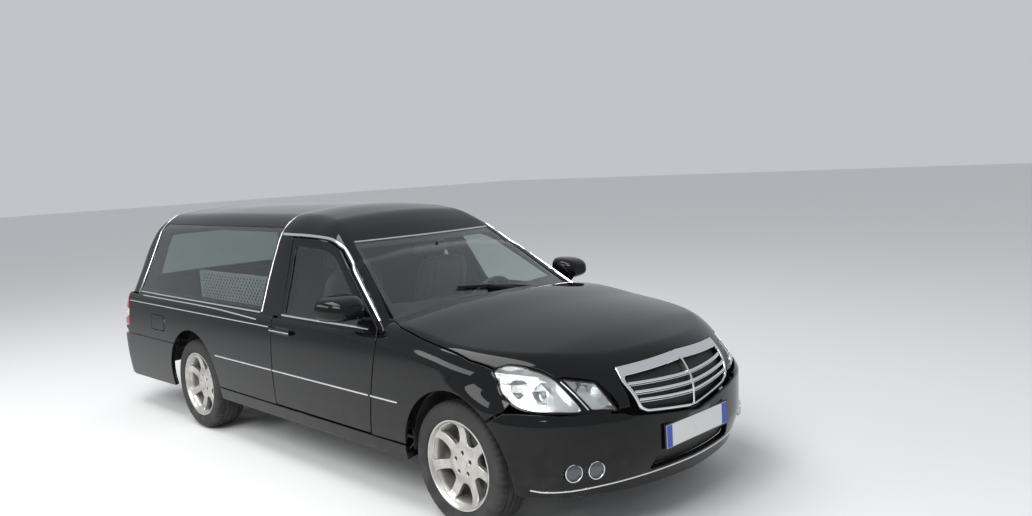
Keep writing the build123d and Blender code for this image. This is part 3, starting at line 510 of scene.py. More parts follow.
def flat_chart(through, way):
    """Chart of parallel rays: its two parameters lie across the rays, the first level with the ground."""
    d = np.array(way, float) / np.linalg.norm(way)
    a = np.cross([0, 0, 1], d)
    a /= np.linalg.norm(a)
    b = np.cross(d, a)
    o = np.array(through, float)

    def rays(uv):
        """Start and direction of the ray at each place of the chart."""
        return o + uv[:, :1] * a + uv[:, 1:2] * b, np.broadcast_to(d, (len(uv), 3))

    def flat(p):
        """Places in the chart of points in 3-D."""
        q = np.asarray(p, float) - o
        return np.column_stack([q @ a, q @ b])

    return rays, flat


def curve_through(points, step=0.012, closed=True):
    """Smooth curve through points: a Catmull-Rom spline."""
    p = np.asarray(points, float)
    if closed:
        a, b, c, d = np.roll(p, 1, 0), p, np.roll(p, -1, 0), np.roll(p, -2, 0)
    else:
        q = np.concatenate([[2 * p[0] - p[1]], p, [2 * p[-1] - p[-2]]])
        a, b, c, d = q[:-3], q[1:-2], q[2:-1], q[3:]
    parts = []
    for i in range(len(b)):
        n = max(2, int(np.linalg.norm(c[i] - b[i]) / step))
        t = (np.arange(n) / n)[:, None]
        parts.append(0.5 * (2 * b[i] + (c[i] - a[i]) * t + (2 * a[i] - 5 * b[i] + 4 * c[i] - d[i]) * t ** 2
                            + (3 * b[i] - a[i] - 3 * c[i] + d[i]) * t ** 3))
    if not closed:
        parts.append(p[-1:])
    return np.concatenate(parts)


def nearest(line, point):
    """Index of the point of a line that is nearest to a given one."""
    return np.argmin(np.linalg.norm(line - np.array(point), axis=1))


def skin(shape, way, outline, holes=(), **shape_of):
    """Trimmed skin in a chart of parallel rays; its outline and holes are points on the shape."""
    middle = np.mean(outline, axis=0) - np.array(way) / np.linalg.norm(way) * 1.5
    rays, flat = flat_chart(middle, way)
    return trimmed(shape, rays, [flat(loop) for loop in (outline, *holes)], far=3.0, **shape_of)


def seen_side(shape, points, step=0.02, closed=False):
    """Side-view points x, z carried out to the shape."""
    return out_to(shape, loop_of(points, step, closed))


def seen_top(shape, points, step=0.02):
    """Plan points x, y carried up to the shape."""
    return up_to(shape, loop_of(points, step, False))


DOOR_FRONT = ((1.012, 0.367), (1.03, 0.47), (1.104, 0.895), (1.098, 0.93))
BONNET_SEAM = ((1.1, 0.768), (1.25, 0.822), (1.42, 0.838), (1.6, 0.843), (1.8, 0.842), (1.938, 0.813))
LAMP = (
    (1.938, 0.813, 0.828), (1.962, 0.79, 0.843), (1.995, 0.759, 0.849), (2.08, 0.712, 0.833),
    (2.17, 0.669, 0.798), (2.25, 0.65, 0.735), (2.318, 0.633, 0.651), (2.25, 0.716, 0.65),
    (2.172, 0.79, 0.66), (2.09, 0.832, 0.684), (2.02, 0.838, 0.727), (1.97, 0.824, 0.78),
)
INNER_LAMP = ((2.205, 0.634, 0.785), (2.309, 0.521, 0.762), (2.399, 0.476, 0.633), (2.345, 0.592, 0.649))

lamp_curve = curve_through(LAMP)
inner_curve = loop_of(np.array(INNER_LAMP), 0.012)
on_wing = (0.62, 0.68, 0.39)
lamp_back, lamp_outer = nearest(lamp_curve, LAMP[0]), nearest(lamp_curve, (2.06, 0.838, 0.7))
lamp_stop = None if lamp_outer > lamp_back else lamp_back + 1
lamp_side = lamp_curve[lamp_outer:lamp_stop][::-1]
door_edge = loop_of(np.array(DOOR_FRONT) + [SHUT, 0], 0.02, False)
wing_outline = np.concatenate([
    out_to(lower_body, door_edge[door_edge[:, 1] < 0.92]),
    seen_top(lower_body, np.array(BONNET_SEAM) + [0, SHUT]),
    lamp_side + [-0.001, 0.002, -0.001],
    seen_side(lower_body, ((2.045, 0.664), (2.01, 0.645), (1.957, 0.612))),
    out_to(lower_body, arc_of(*ARCH_FRONT, 46, 175)),
])
wing = skin(lower_body, on_wing, wing_outline, thick=0.018)
both_sides("front_wings", [wing], "root", [black_paint, undercoat], ["front_fenders"])

# Doors: a pressed outer skin with a rolled shoulder, a window frame above it and a trimmed inside.
# Gloss black outside with a dark inner face; skin, pane and seal ride on the door hinge.
SCREEN_CORNER = (0.461, 0.556, 1.381)
SCREEN_FALL = (1.45, 0.396)
ROOF_CREST = ((-2.6, -1.9, -1.17, -0.175, 0.18, 0.35, 0.49, 0.6),
              (1.545, 1.561, 1.5705, 1.567, 1.53, 1.476, 1.404, 1.33))


def upper_body(x, y, z):
    """Greenhouse: leaning sides, crowned roof, raked screen and sloping tail, all rounded together."""
    lean = 0.42 + 0.1 * ease(-0.2, 0.45, x)
    base = 0.868 - 0.014 * ease(0.3, 1.0, x) - 0.012 * ease(-1.6, -2.5, x)
    side = (np.abs(y) - (base - lean * (z - 0.92))) / np.hypot(1, lean)
    bend = 0.03 + 0.012 * ease(0.1, -0.3, x)
    roof = (z - (along(*ROOF_CREST, x) - bend * (y / 0.555) ** 2)) / np.hypot(1, 0.5 * ease(0.1, 0.5, x))
    eave = 0.12 - 0.05 * ease(0.0, 0.45, x)
    shell = rounded(side, roof, eave)
    down = SCREEN_CORNER[2] - z
    edge, half = SCREEN_CORNER[0] + down * SCREEN_FALL[0], SCREEN_CORNER[1] + down * SCREEN_FALL[1]
    centre = 0.52 + down * 1.549
    screen = (x - (centre - (centre - edge) * (y / half) ** 2)) * 0.542
    shell = rounded(shell, screen, 0.045)
    end = along(*TAIL_TIP, z) + 0.05 * (y / 0.62) ** 2
    return rounded(shell, (end - x) * 0.93, 0.09)


def soften(loop, radius):
    """Outline with its corners rounded: each sharp corner gives way to a short parabola."""
    p = np.asarray(loop, float)
    before, after = np.roll(p, 1, axis=0), np.roll(p, -1, axis=0)
    out = []
    for a, b, c in zip(before, p, after):
        u, v = a - b, c - b
        lu, lv = np.linalg.norm(u), np.linalg.norm(v)
        r = min(radius, 0.45 * lu, 0.45 * lv)
        s, e = b + u / lu * r, b + v / lv * r
        t = np.linspace(0, 1, 7)[:, None]
        out.append((1 - t) ** 2 * s + 2 * t * (1 - t) * b + t ** 2 * e)
    return np.concatenate(out)


def glass(name, color):
    """Thin window glass: clear through, with a sharp reflection and a film of dust."""
    mat = finish_of(name, color, 0.0, dust=0.07, height=1.2, scale=16, tint=(0.55, 0.53, 0.5))
    filled(mat.node_tree.nodes["Principled BSDF"], Transmission_Weight=1.0, IOR=1.45)
    return mat


tinted_glass = glass("tinted_glass", (0.48, 0.54, 0.52))
glass_band = finish_of("glass_band", (0.006, 0.006, 0.007), 0.25, dust=0.06, height=1.5, scale=26)
dark_trim = finish_of("dark_trim", (0.012, 0.012, 0.013), 0.6, dust=0.12, height=1.2, scale=24)
SIDES = (("left", False), ("right", True))
DOOR_LOWER = ((0.0, 0.372), (1.012, 0.372), (1.03, 0.47), (1.104, 0.895), (1.096, 0.925), (0.0, 0.925))
DOOR_UPPER = (
    (0.078, 0.9), (1.07, 0.9), (1.043, 0.947), (0.468, 1.33), (0.358, 1.371), (0.2, 1.393), (-0.047, 1.401),
)
DOOR_WINDOW = ((0.118, 0.9445), (0.96, 0.9445), (0.478, 1.264), (0.38, 1.313), (0.25, 1.335), (0.012, 1.348))


def inset(points, amount):
    """Side-view outline drawn in by an amount."""
    return shifted(ccw(loop_of(points, 0.03)), amount)


def door_parts():
    """Door skin below the belt, and the window frame above it with the opening cut out."""
    low = out_to(lower_body, inset(DOOR_LOWER, SHUT))
    up = out_to(upper_body, inset(DOOR_UPPER, SHUT))
    gap = out_to(upper_body, soften(loop_of(DOOR_WINDOW, 1.0), 0.03))
    return [skin(lower_body, (0, 0.84, 0.54), low, thick=0.095),
            skin(upper_body, (0, 0.92, 0.39), up, [gap], thick=0.045)]


door_skins = door_parts()


def glazing(shape, way, outline, clear, lift=-0.004):
    """Pane set into its opening, and under it the black band printed round the clear part."""
    sheet = skin(shape, way, outline, lift=lift, thick=0.004, hem=0.0, pitch=0.02)
    band = skin(shape, way, outline, [clear], lift=lift - 0.0045, thick=0.001, hem=0.0, pitch=0.02)
    return sheet, band


def window_ring(points, amount, radius=0.03):
    """Side-view window outline with round corners, drawn in by an amount and carried out to the cab."""
    return out_to(upper_body, shifted(ccw(loop_of(soften(loop_of(points, 1.0), radius), 0.02)), amount))


DOOR_RAY = (0, 0.92, 0.39)
door_pane, door_band = glazing(
    upper_body, DOOR_RAY, window_ring(DOOR_WINDOW, 0.0005), window_ring(DOOR_WINDOW, 0.011), lift=-0.006)
for side, far_side in SIDES:
    fit = turned if far_side else (lambda part: part)
    panel("door_skin_" + side, [fit(p) for p in door_skins], "door_" + side, [black_paint, dark_trim],
          ["door_" + side])
    panel("door_pane_" + side, [fit(door_pane)], "door_" + side, [tinted_glass], ["door_glass_" + side])
    panel("door_seal_" + side, [fit(door_band)], "door_" + side, [glass_band])

# Roof and pillars: one pressing from the windscreen header over the cab and the load space to the rear hoop,
# with the windscreen pillars, and a second one behind the hoop that frames the tailgate.
# Hemmed round the side windows; gloss black with a grey lining inside.
ROOF_AXIS, ROOF_ROUND = 0.96, 0.6


def on_roof(uv):
    """Chart of the roof: x, and arc length at a set radius about a line along the middle of the car."""
    a = uv[:, 1] / ROOF_ROUND
    o = np.column_stack([uv[:, 0], 0 * a, ROOF_AXIS + 0 * a])
    return o, np.column_stack([0 * a, np.sin(a), np.cos(a)])


def seen_behind(shape, points, step=0.02, closed=False):
    """Rear-view points y, z carried back to the shape."""
    p = loop_of(points, step, closed)
    o = np.column_stack([-1.6 + 0 * p[:, 0], p])
    return dropped(shape, o, np.broadcast_to([-1.0, 0.0, 0.0], o.shape), 1.4)


cabin_trim = finish_of("cabin_trim", (0.06, 0.062, 0.068), 0.7, dust=0.12, height=1.5, scale=24)
REAR_HOOP = ((-2.139, 0.9285), (-2.127, 0.964), (-2.099, 1.145), (-2.077, 1.374), (-2.0705, 1.44))
SIDE_GLASS = (
    (-2.116, 0.948), (-0.176, 0.948), (-0.197, 1.12), (-0.204, 1.24), (-0.204, 1.457), (-2.052, 1.457),
    (-2.059, 1.374), (-2.083, 1.145),
)
FRAME_EDGE = (
    (-0.012, 0.905), (-0.012, 0.9285), (0.0705, 0.9285), (-0.0505, 1.4045), (0.2, 1.3965), (0.361, 1.375),
    (0.474, 1.333), (1.051, 0.947), (1.081, 0.925),
)
mirror_uv = np.array([1, -1])


def roof_line(points):
    """Points x, arc given in the roof chart, from points in 3-D."""
    p = np.asarray(points, float)
    return np.column_stack([p[:, 0], ROOF_ROUND * np.arctan2(p[:, 1], p[:, 2] - ROOF_AXIS)])


def on_roof_chart(shape, side_points):
    """Side-view points x, z given in the roof chart."""
    return roof_line(out_to(shape, side_points))


def screen_edge(drop):
    """Side edge of the windscreen, a given drop below its upper corner."""
    x, y, z = SCREEN_CORNER
    return np.column_stack([x + drop * SCREEN_FALL[0], y + drop * SCREEN_FALL[1], z - drop])


def header_line(grow=0.0, half=0.548, count=45):
    """Upper edge of the windscreen from the left corner to the right one, on the roof."""
    y = np.linspace(half, -half, count)
    plan = np.column_stack([0.505 + grow - 0.052 * (y / 0.55) ** 2, y])
    return up_to(upper_body, plan)


hoop_left = on_roof_chart(upper_body, loop_of(REAR_HOOP, 0.02, False))
roof_left = np.concatenate([
    on_roof_chart(upper_body, loop_of(((-2.139, 0.905), (-0.012, 0.905)), 0.03, False))[:-1],
    on_roof_chart(upper_body, loop_of(FRAME_EDGE, 0.02, False)),
    roof_line(screen_edge(np.linspace(0.416, 0.004, 30))),
])
hoop_top = np.linspace(-hoop_left[-1, 1], hoop_left[-1, 1], 60)[1:-1]
roof_outline = np.concatenate([
    roof_left, roof_line(header_line())[1:-1], (roof_left * mirror_uv)[::-1], hoop_left * mirror_uv,
    np.column_stack([np.full(58, REAR_HOOP[-1][0]), hoop_top]), hoop_left[::-1][:-1],
])
side_glass_loop = soften(loop_of(SIDE_GLASS, 1.0), 0.03)
glass_uv = on_roof_chart(upper_body, loop_of(side_glass_loop, 0.03))
roof_skin = trimmed(upper_body, on_roof, [roof_outline, glass_uv, glass_uv * mirror_uv], thick=0.034,
                    pitch=0.02)

TAIL_EYE = np.array([-1.2, 0.0, 1.0])


def on_tail_cap(uv):
    """Chart of the tail above the belt: rays from one point inside the load space."""
    d = np.column_stack([-1 + 0 * uv[:, 0], uv])
    return np.broadcast_to(TAIL_EYE, d.shape), d / np.linalg.norm(d, axis=1)[:, None]


def tail_cap_line(p):
    """Points given in the chart of the tail: their place over the distance behind its eye."""
    q = np.asarray(p, float) - TAIL_EYE
    return q[:, 1:] / -q[:, :1]


cap_side = np.concatenate([
    out_to(upper_body, loop_of(REAR_HOOP, 0.02, False)[::-1] - [0.002, 0]),
    seen_side(upper_body, ((-2.145, 0.9285), (-2.35, 0.9285)))[1:],
    seen_behind(upper_body, ((0.79, 0.9285), (0.7505, 0.9285))),
    seen_behind(upper_body, ((0.7495, 0.932), (0.570, 1.4475))),
])
cap_half = tail_cap_line(cap_side)
cap_edge = np.column_stack([np.full(58, REAR_HOOP[-1][0] - 0.002), hoop_top])
cap_top = dropped(upper_body, *on_roof(cap_edge), REACH)
gate_top = tail_cap_line(seen_behind(upper_body, ((0.564, 1.4475), (-0.564, 1.4475))))
cap_outline = np.concatenate([tail_cap_line(cap_top), cap_half, gate_top, (cap_half * [-1, 1])[::-1]])
tail_cap = trimmed(upper_body, on_tail_cap, [cap_outline], thick=0.034, pitch=0.02, far=1.9)
panel("roof_skin", [roof_skin, tail_cap], "root", [black_paint, cabin_trim], ["roof"])

# Rear side panels: from the door's rear edge over the wheel arch to the tail corner, below the windows.
# Pressed steel, hemmed at the arch and the shut lines; gloss black, undercoated inside.
rear_arch = arc_of(*ARCH_REAR, 4, 137)
side_bottom = seen_side(lower_body, ((-1.443, 0.6025), (-2.28, 0.6025)))
tail_low = seen_behind(lower_body, ((0.86, 0.6025), (0.748, 0.6025), (0.748, 0.657), (0.85, 0.657)))
lamp_front = seen_side(lower_body, ((-2.267, 0.657), (-2.267, 0.918)))
tail_high = seen_behind(lower_body, ((0.85, 0.918), (0.748, 0.918), (0.748, 0.93)))
side_outline = np.concatenate([
    out_to(lower_body, loop_of(((-0.0025, 0.3695), (-0.776, 0.3695)), 0.02, False)),
    out_to(lower_body, rear_arch), side_bottom, tail_low, lamp_front, tail_high,
    seen_side(lower_body, ((-2.3, 0.925), (-0.0025, 0.925))),
    seen_side(lower_body, ((-0.0025, 0.905), (-0.0025, 0.39))),
])
FLAP = ((-1.83, 0.68), (-1.603, 0.68), (-1.603, 0.79), (-1.83, 0.79))
FLAP_HOLE = ((-1.8335, 0.6765), (-1.5955, 0.6765), (-1.5955, 0.7935), (-1.8335, 0.7935))
flap_loop = out_to(lower_body, loop_of(soften(FLAP, 0.026), 0.02))
flap_gap = out_to(lower_body, loop_of(soften(FLAP_HOLE, 0.028), 0.02))
SIDE_RAY = (-0.42, 0.76, 0.48)
left_side = skin(lower_body, SIDE_RAY, side_outline, thick=0.05)
right_side = turned(skin(lower_body, SIDE_RAY, side_outline, [flap_gap], thick=0.05))
panel("rear_side_skins", [left_side, right_side], "root", [black_paint, undercoat], ["side_panels"])
flap_skin = turned(skin(lower_body, (0, 1, 0.1), flap_loop, thick=0.004, hem=0.002))
panel("fuel_flap_skin", [flap_skin], "fuel_flap", [black_paint, dark_trim], ["fuel_flap"])

# Tailgate: pressed outer skin with its window, hinged at the roof edge, and a bonded pane over a black band.
# Gloss black; the number plate's place below the window is bare.


def body_shape(x, y, z):
    """Both halves of the body together: the smaller of their distances."""
    return np.minimum(lower_body(x, y, z), upper_body(x, y, z))


gate_outline = seen_behind(body_shape, (
    (0.7455, 0.63), (0.7455, 0.93), (0.5645, 1.4425), (-0.5645, 1.4425), (-0.7455, 0.93), (-0.7455, 0.63),
), closed=True)
TAIL_GLASS = ((0.628, 1.0), (0.502, 1.392), (-0.502, 1.392), (-0.628, 1.0))
REARWARD = (-1.0, 0.0, 0.0)
tail_glass_loop = loop_of(soften(TAIL_GLASS, 0.035), 0.02)
gate_gap = seen_behind(body_shape, tail_glass_loop, closed=True)
gate = skin(body_shape, REARWARD, gate_outline, [gate_gap], thick=0.042, pitch=0.02)
panel("tailgate_skin", [gate], "tailgate", [black_paint, cabin_trim], ["tailgate"])

tail_pane, tail_band = glazing(
    body_shape, REARWARD, seen_behind(body_shape, shifted(ccw(tail_glass_loop), 0.0005), closed=True),
    seen_behind(body_shape, shifted(ccw(tail_glass_loop), 0.035), closed=True))
panel("tailgate_pane", [tail_pane], "tailgate", [tinted_glass], ["tailgate_glass"])
panel("tailgate_band", [tail_band], "tailgate", [glass_band])

# Fixed glass: bonded windscreen and two long side panes that reach up to the roof edge.
# Float glass with a slight green tint; wide black bands hide the bonding.
clear_glass = glass("clear_glass", (0.86, 0.93, 0.9))


def screen_ring(foot, top, side, header):
    """Closed outline on the windscreen: up one edge, across the top, down the other edge, along the foot."""
    left = screen_edge(np.linspace(foot, top, 30)) - [0, side, 0]
    low, high = left[0, 1], left[-1, 1]
    y = np.linspace(-low, low, 60)[1:-1]
    x = SCREEN_CORNER[0] + foot * SCREEN_FALL[0] + (0.059 + foot * 0.099) * (1 - (y / low) ** 2)
    foot_line = up_to(upper_body, np.column_stack([x, y]))
    return np.concatenate([left, header_line(header, high - 0.004)[1:-1], (left * [1, -1, 1])[::-1],
                           foot_line])


screen_outline = screen_ring(0.413, 0.006, 0.004, 0.004)
SCREEN_RAY = (0.54, 0, 0.84)

screen_pane, screen_band = glazing(upper_body, SCREEN_RAY, screen_outline,
                                   screen_ring(0.335, 0.04, 0.034, 0.058))
glass_loop = ccw(loop_of(side_glass_loop, 0.03))
glass_rim, glass_clear = (out_to(upper_body, shifted(glass_loop, amount)) for amount in (0.0005, 0.026))
SIDE_GLASS_RAY = (0, 0.9, 0.44)
side_pane, side_band = glazing(upper_body, SIDE_GLASS_RAY, glass_rim, glass_clear)
panel("windscreen", [screen_pane], "root", [clear_glass], ["fixed_glass"])
panel("side_panes", [side_pane, turned(side_pane)], "root", [tinted_glass])
panel("glass_bands", [screen_band, side_band, turned(side_band)], "root", [glass_band])

# Tail lamps: one moulded red lens at each corner, wrapped from the side round to the tailgate.
# Red plastic with a pale reversing band.
red_lens = finish_of("red_lens", (0.36, 0.012, 0.012), 0.12, coat=1.0, dust=0.06, height=1.0, scale=18)
pale_lens = finish_of("pale_lens", (0.62, 0.58, 0.55), 0.15, coat=1.0, dust=0.06, height=1.0, scale=18)
LAMP_LOW, LAMP_HIGH, BAND_LOW, BAND_HIGH = 0.6605, 0.9145, 0.742, 0.796


def tail_lens(low, high):
    """Piece of the lamp between two heights, from the side round to the tailgate."""
    outline = np.concatenate([
        seen_side(lower_body, ((-2.2705, low), (-2.2705, high))),
        seen_behind(lower_body, ((0.86, high), (0.7515, high))),
        seen_behind(lower_body, ((0.7515, high), (0.7515, low))),
        seen_behind(lower_body, ((0.76, low), (0.86, low))),
    ])
    return skin(lower_body, (-0.7, 0.72, 0.0), outline, thick=0.012, hem=0.003, lift=0.001, pitch=0.02)


red_parts = [tail_lens(LAMP_LOW, BAND_LOW), tail_lens(BAND_HIGH, LAMP_HIGH)]
pale_part = tail_lens(BAND_LOW + 0.002, BAND_HIGH - 0.002)
both_sides("tail_lenses", red_parts, "root", [red_lens], ["tail_lamps"])
both_sides("reversing_lenses", [pale_part], "root", [pale_lens])

# Bonnet: one long pressing with a low crown that falls towards the nose.
# Gloss black outside; its front edge goes down between the lamps and round the grille.


def seen_ahead(shape, points, step=0.02, closed=False):
    """Front-view points y, z carried forward to the shape."""
    p = loop_of(points, step, closed)
    o = np.column_stack([1.4 + 0 * p[:, 0], p])
    return dropped(shape, o, np.broadcast_to([1.0, 0.0, 0.0], o.shape), 1.4)


bonnet_front = seen_ahead(lower_body, ((0.486, 0.634), (0.416, 0.634)))
half_bonnet = np.concatenate([
    seen_top(lower_body, ((1.169, 0.0), (1.153, 0.3), (1.109, 0.64), (1.1025, 0.765))),
    seen_top(lower_body, np.array(BONNET_SEAM[1:]) - [0, SHUT])[:-1],
])
lamp_top = lamp_curve[:nearest(lamp_curve, (2.205, 0.66, 0.775))]
inner_top = loop_of(((2.205, 0.634, 0.785), (2.309, 0.521, 0.762), (2.399, 0.476, 0.633)), 0.015, False)
grille_side = seen_ahead(lower_body, ((0.415, 0.64), (0.4155, 0.752), (0.406, 0.812), (0.0, 0.8305)))
half_bonnet = np.concatenate([half_bonnet, lamp_top + [-0.002, 0, 0.003], inner_top + [0, -0.004, 0.003],
                              bonnet_front, grille_side[1:]])
bonnet_outline = np.concatenate([half_bonnet, (half_bonnet * [1, -1, 1])[::-1][1:-1]])
bonnet = skin(lower_body, (0.45, 0, 0.89), bonnet_outline, thick=0.009, pitch=0.018)
panel("bonnet_skin", [bonnet], "bonnet", [black_paint, undercoat], ["bonnet_panel"])

# Bumpers: plastic skins proud of the body, with a flat seat for the number plate in front.
# Gloss black; cut out for the intake and two fog lamps a side.


def bumper_shape(x, y, z):
    """Bumper skins, a little proud of the body at nose and tail, tucked in at the bottom."""
    tuck = 0.06 * ease(0.42, 0.2, z)
    tip = 2.497 + 0.028 * ease(0.652, 0.6, z) - tuck
    plan = plan_distance(x, y, z, tip, 0.56, 2.8)
    w = side_width(z)
    behind = np.maximum(-2.343 - x, 0) / (0.18 - 0.3 * tuck)
    u = np.abs(y) / w
    g = behind ** 2 + u ** 5 - 1
    rear = g / np.sqrt((2 * behind / 0.18) ** 2 + (5 * u ** 4 / w) ** 2 + 0.25)
    seat = ease(0.3, 0.262, np.abs(y)) * ease(0.372, 0.394, z) * ease(0.55, 0.528, z)
    plan = np.maximum(plan, x - 2.545 + 0.033 * seat)
    return np.where(x > 0, plan, rear)


NOSE_AXIS = 1.45


def on_nose(uv):
    """Chart of the front: angle about an upright line in the engine bay, and height."""
    a = uv[:, 0]
    o = np.column_stack([NOSE_AXIS + 0 * a, 0 * a, uv[:, 1]])
    return o, np.column_stack([np.cos(a), np.sin(a), 0 * a])


TAIL_AXIS = -1.2


def on_tail(uv):
    """Chart of the back: angle about an upright line inside the load space, and height."""
    a = uv[:, 0]
    o = np.column_stack([TAIL_AXIS + 0 * a, 0 * a, uv[:, 1]])
    return o, np.column_stack([-np.cos(a), np.sin(a), 0 * a])


bumper_top = [(0.78, 0.651), (0.72, 0.643), (0.633, 0.6425), (0.592, 0.64), (0.476, 0.626), (0.43, 0.606),
              (0.335, 0.592), (0.0, 0.549)]
bumper_half = np.concatenate([
    seen_ahead(bumper_shape, bumper_top[::-1]),
    seen_side(bumper_shape, ((2.045, 0.655), (1.96, 0.603))),
    out_to(bumper_shape, arc_of(*ARCH_FRONT, 44, -8)),
    seen_side(bumper_shape, ((2.06, 0.262), (2.09, 0.245))),
    seen_ahead(bumper_shape, ((0.8, 0.245), (0.0, 0.235))),
])


def nose_line(p):
    """Points angle, height of the nose chart from points in 3-D."""
    return np.column_stack([np.arctan2(p[:, 1], p[:, 0] - NOSE_AXIS), p[:, 2]])


def both_halves(points):
    """Outline or line completed by its own mirror image."""
    p = np.asarray(points, float)
    return np.concatenate([p, (p * [-1, 1])[::-1][1:-1]])


FOG_LAMPS = ((0.697, 0.376), (0.612, 0.381))
FOG_RADIUS = 0.042
AIR_INTAKE = ((-0.33, 0.318), (0.33, 0.318), (0.3, 0.398), (-0.3, 0.398))
fog_holes = [seen_ahead(bumper_shape, arc_of(y, z, FOG_RADIUS - 0.006, 0, 345, 0.006), closed=True)
             for y, z in FOG_LAMPS]
bumper_holes = [nose_line(h) for h in fog_holes]
bumper_holes += [h * [-1, 1] for h in bumper_holes]
bumper_holes.append(nose_line(seen_ahead(bumper_shape, soften(AIR_INTAKE, 0.02), closed=True)))
front_bumper = trimmed(bumper_shape, on_nose, [both_halves(nose_line(bumper_half)), *bumper_holes],
                       thick=0.03, pitch=0.018)
panel("front_bumper_skin", [front_bumper], "root", [black_paint, undercoat], ["front_bumper"])
rear_half = np.concatenate([
    seen_behind(bumper_shape, ((0.0, 0.6), (0.86, 0.6))),
    seen_side(bumper_shape, ((-2.3, 0.6), (-1.46, 0.6))),
    out_to(bumper_shape, arc_of(*ARCH_REAR, 138, 190)),
    seen_side(bumper_shape, ((-1.545, 0.262), (-2.3, 0.25))),
    seen_behind(bumper_shape, ((0.85, 0.25), (0.0, 0.25))),
])
tail_uv = np.column_stack([np.arctan2(rear_half[:, 1], TAIL_AXIS - rear_half[:, 0]), rear_half[:, 2]])
rear_bumper = trimmed(bumper_shape, on_tail, [both_halves(tail_uv)], thick=0.03, pitch=0.02, far=1.9)
panel("rear_bumper_skin", [rear_bumper], "root", [black_paint, undercoat], ["rear_bumper"])

# Grille: a chromed surround with a deep upper bar, three drooping slats and one upright bar.
# Bright chromed plastic over a plain black back; it rides on the bonnet.


def outwards_only(cloud, groups):
    """Closed piece with its faces turned to look outwards, by the sign of its volume."""
    volume = 0.0
    for group in groups:
        for k in range(1, group.shape[1] - 1):
            a, b, c = cloud[group[:, 0]], cloud[group[:, k]], cloud[group[:, k + 1]]
            volume += (np.cross(a, b) * c).sum()
    return cloud, [g[:, ::-1] for g in groups] if volume < 0 else groups


def rings_joined(cloud, count, closed=False):
    """Closed piece from rings of count points each: quads between neighbours, and an end face on the first
    and the last ring unless they join."""
    index = np.arange(len(cloud)).reshape(-1, count)
    beside = np.roll(index, -1, axis=1)
    if closed:
        corners = [index, beside, np.roll(beside, -1, axis=0), np.roll(index, -1, axis=0)]
    else:
        corners = [index[:-1], beside[:-1], beside[1:], index[1:]]
    ends = [] if closed else [index[:1, ::-1], index[-1:]]
    return outwards_only(cloud, [np.stack(corners, axis=-1).reshape(-1, 4), *ends])


def swept(points, across, outwards, profile, closed=False):
    """Bar of one cross-section along a line: profile rows are its places across and outwards."""
    u, h = np.asarray(profile, float).T[..., None]
    rows = np.asarray(points, float)[:, None] + across[:, None] * u + outwards[:, None] * h
    return rings_joined(rows.reshape(-1, 3), len(profile), closed)


def strip_on(shape, path, profile, closed=False):
    """Trim strip that follows a line on the shape, square to it."""
    p = np.asarray(path, float)
    n = outward(shape, p)
    t = np.roll(p, -1, axis=0) - np.roll(p, 1, axis=0)
    if not closed:
        t[0], t[-1] = p[1] - p[0], p[-1] - p[-2]
    s = np.cross(n, t)
    s /= np.linalg.norm(s, axis=1)[:, None]
    return swept(p, s, n, profile, closed)


def rounded_bar(width, height, foot=0.004):
    """Cross-section of a rolled trim strip: flat foot, crowned face."""
    a = np.linspace(0, pi, 9)
    return np.concatenate([np.column_stack([width / 2 * np.cos(a), height * np.sin(a) ** 0.7]),
                           [(-width / 2, -foot), (width / 2, -foot)]])


def assembled(name, pieces, body, materials, replaces=(), slots=None):
    """One object of several closed pieces, each with its own material slot."""
    clouds, polys, index, count = [], [], [], 0
    for k, (cloud, groups) in enumerate(pieces):
        for group in groups:
            polys.append(np.asarray(group) + count)
            index.append(np.full(len(group), slots[k] if slots else 0))
        clouds.append(cloud)
        count += len(cloud)
    return make_mesh(name, np.concatenate(clouds), polys, body, materials, np.concatenate(index), replaces)


chrome = finish_of("chrome", (0.78, 0.78, 0.79), 0.09, metal=1.0, dust=0.12, height=1.2, scale=26)
black_mesh = finish_of("black_mesh", (0.008, 0.008, 0.009), 0.6, dust=0.1, height=0.9, scale=60)
GRILLE_OUT = ((0.0, 0.83), (0.404, 0.812), (0.414, 0.752), (0.372, 0.624), (0.33, 0.598), (0.0, 0.556))
GRILLE_IN = ((0.0, 0.786), (0.384, 0.769), (0.394, 0.75), (0.3555, 0.634), (0.32, 0.613), (0.0, 0.573))
SLATS = ((0.739, 0.727, 0.389), (0.7, 0.684, 0.376), (0.664, 0.641, 0.364))


def grille_loop(points):
    """Front-view half outline y, z, completed, rounded at its corners and given in the nose chart."""
    return nose_line(seen_ahead(lower_body, soften(both_halves(points), 0.014), 0.012, closed=True))


surround = trimmed(lower_body, on_nose, [grille_loop(GRILLE_OUT), grille_loop(GRILLE_IN)], lift=0.008,
                   thick=0.03, hem=0.006, pitch=0.012)
grille_back = trimmed(lower_body, on_nose, [shifted(ccw(grille_loop(GRILLE_OUT)), 0.008)], lift=-0.026,
                      thick=0.004, hem=0.0)
slat_bar = rounded_bar(0.0135, 0.005, 0.022)
slats = []
for end_z, mid_z, half in SLATS:
    y = np.linspace(-half, half, 41)
    droop = np.column_stack([y, mid_z + (end_z - mid_z) * np.abs(y / half) ** 1.4])
    line = seen_ahead(lower_body, droop, 1.0)
    slats.append(strip_on(lower_body, line, slat_bar))
    slats.append(strip_on(lower_body, line - [0, 0, 0.0125], rounded_bar(0.004, 0.001, 0.02)))
middle_bar = seen_ahead(lower_body, np.column_stack([np.zeros(12), np.linspace(0.79, 0.57, 12)]), 1.0)
slats.append(strip_on(lower_body, middle_bar, rounded_bar(0.011, 0.009, 0.02)))
panel("grille_surround", [surround], "bonnet", [chrome, dark_trim], ["grille"])
assembled("grille_slats", slats, "bonnet", [chrome])
panel("grille_back", [grille_back], "bonnet", [black_mesh])

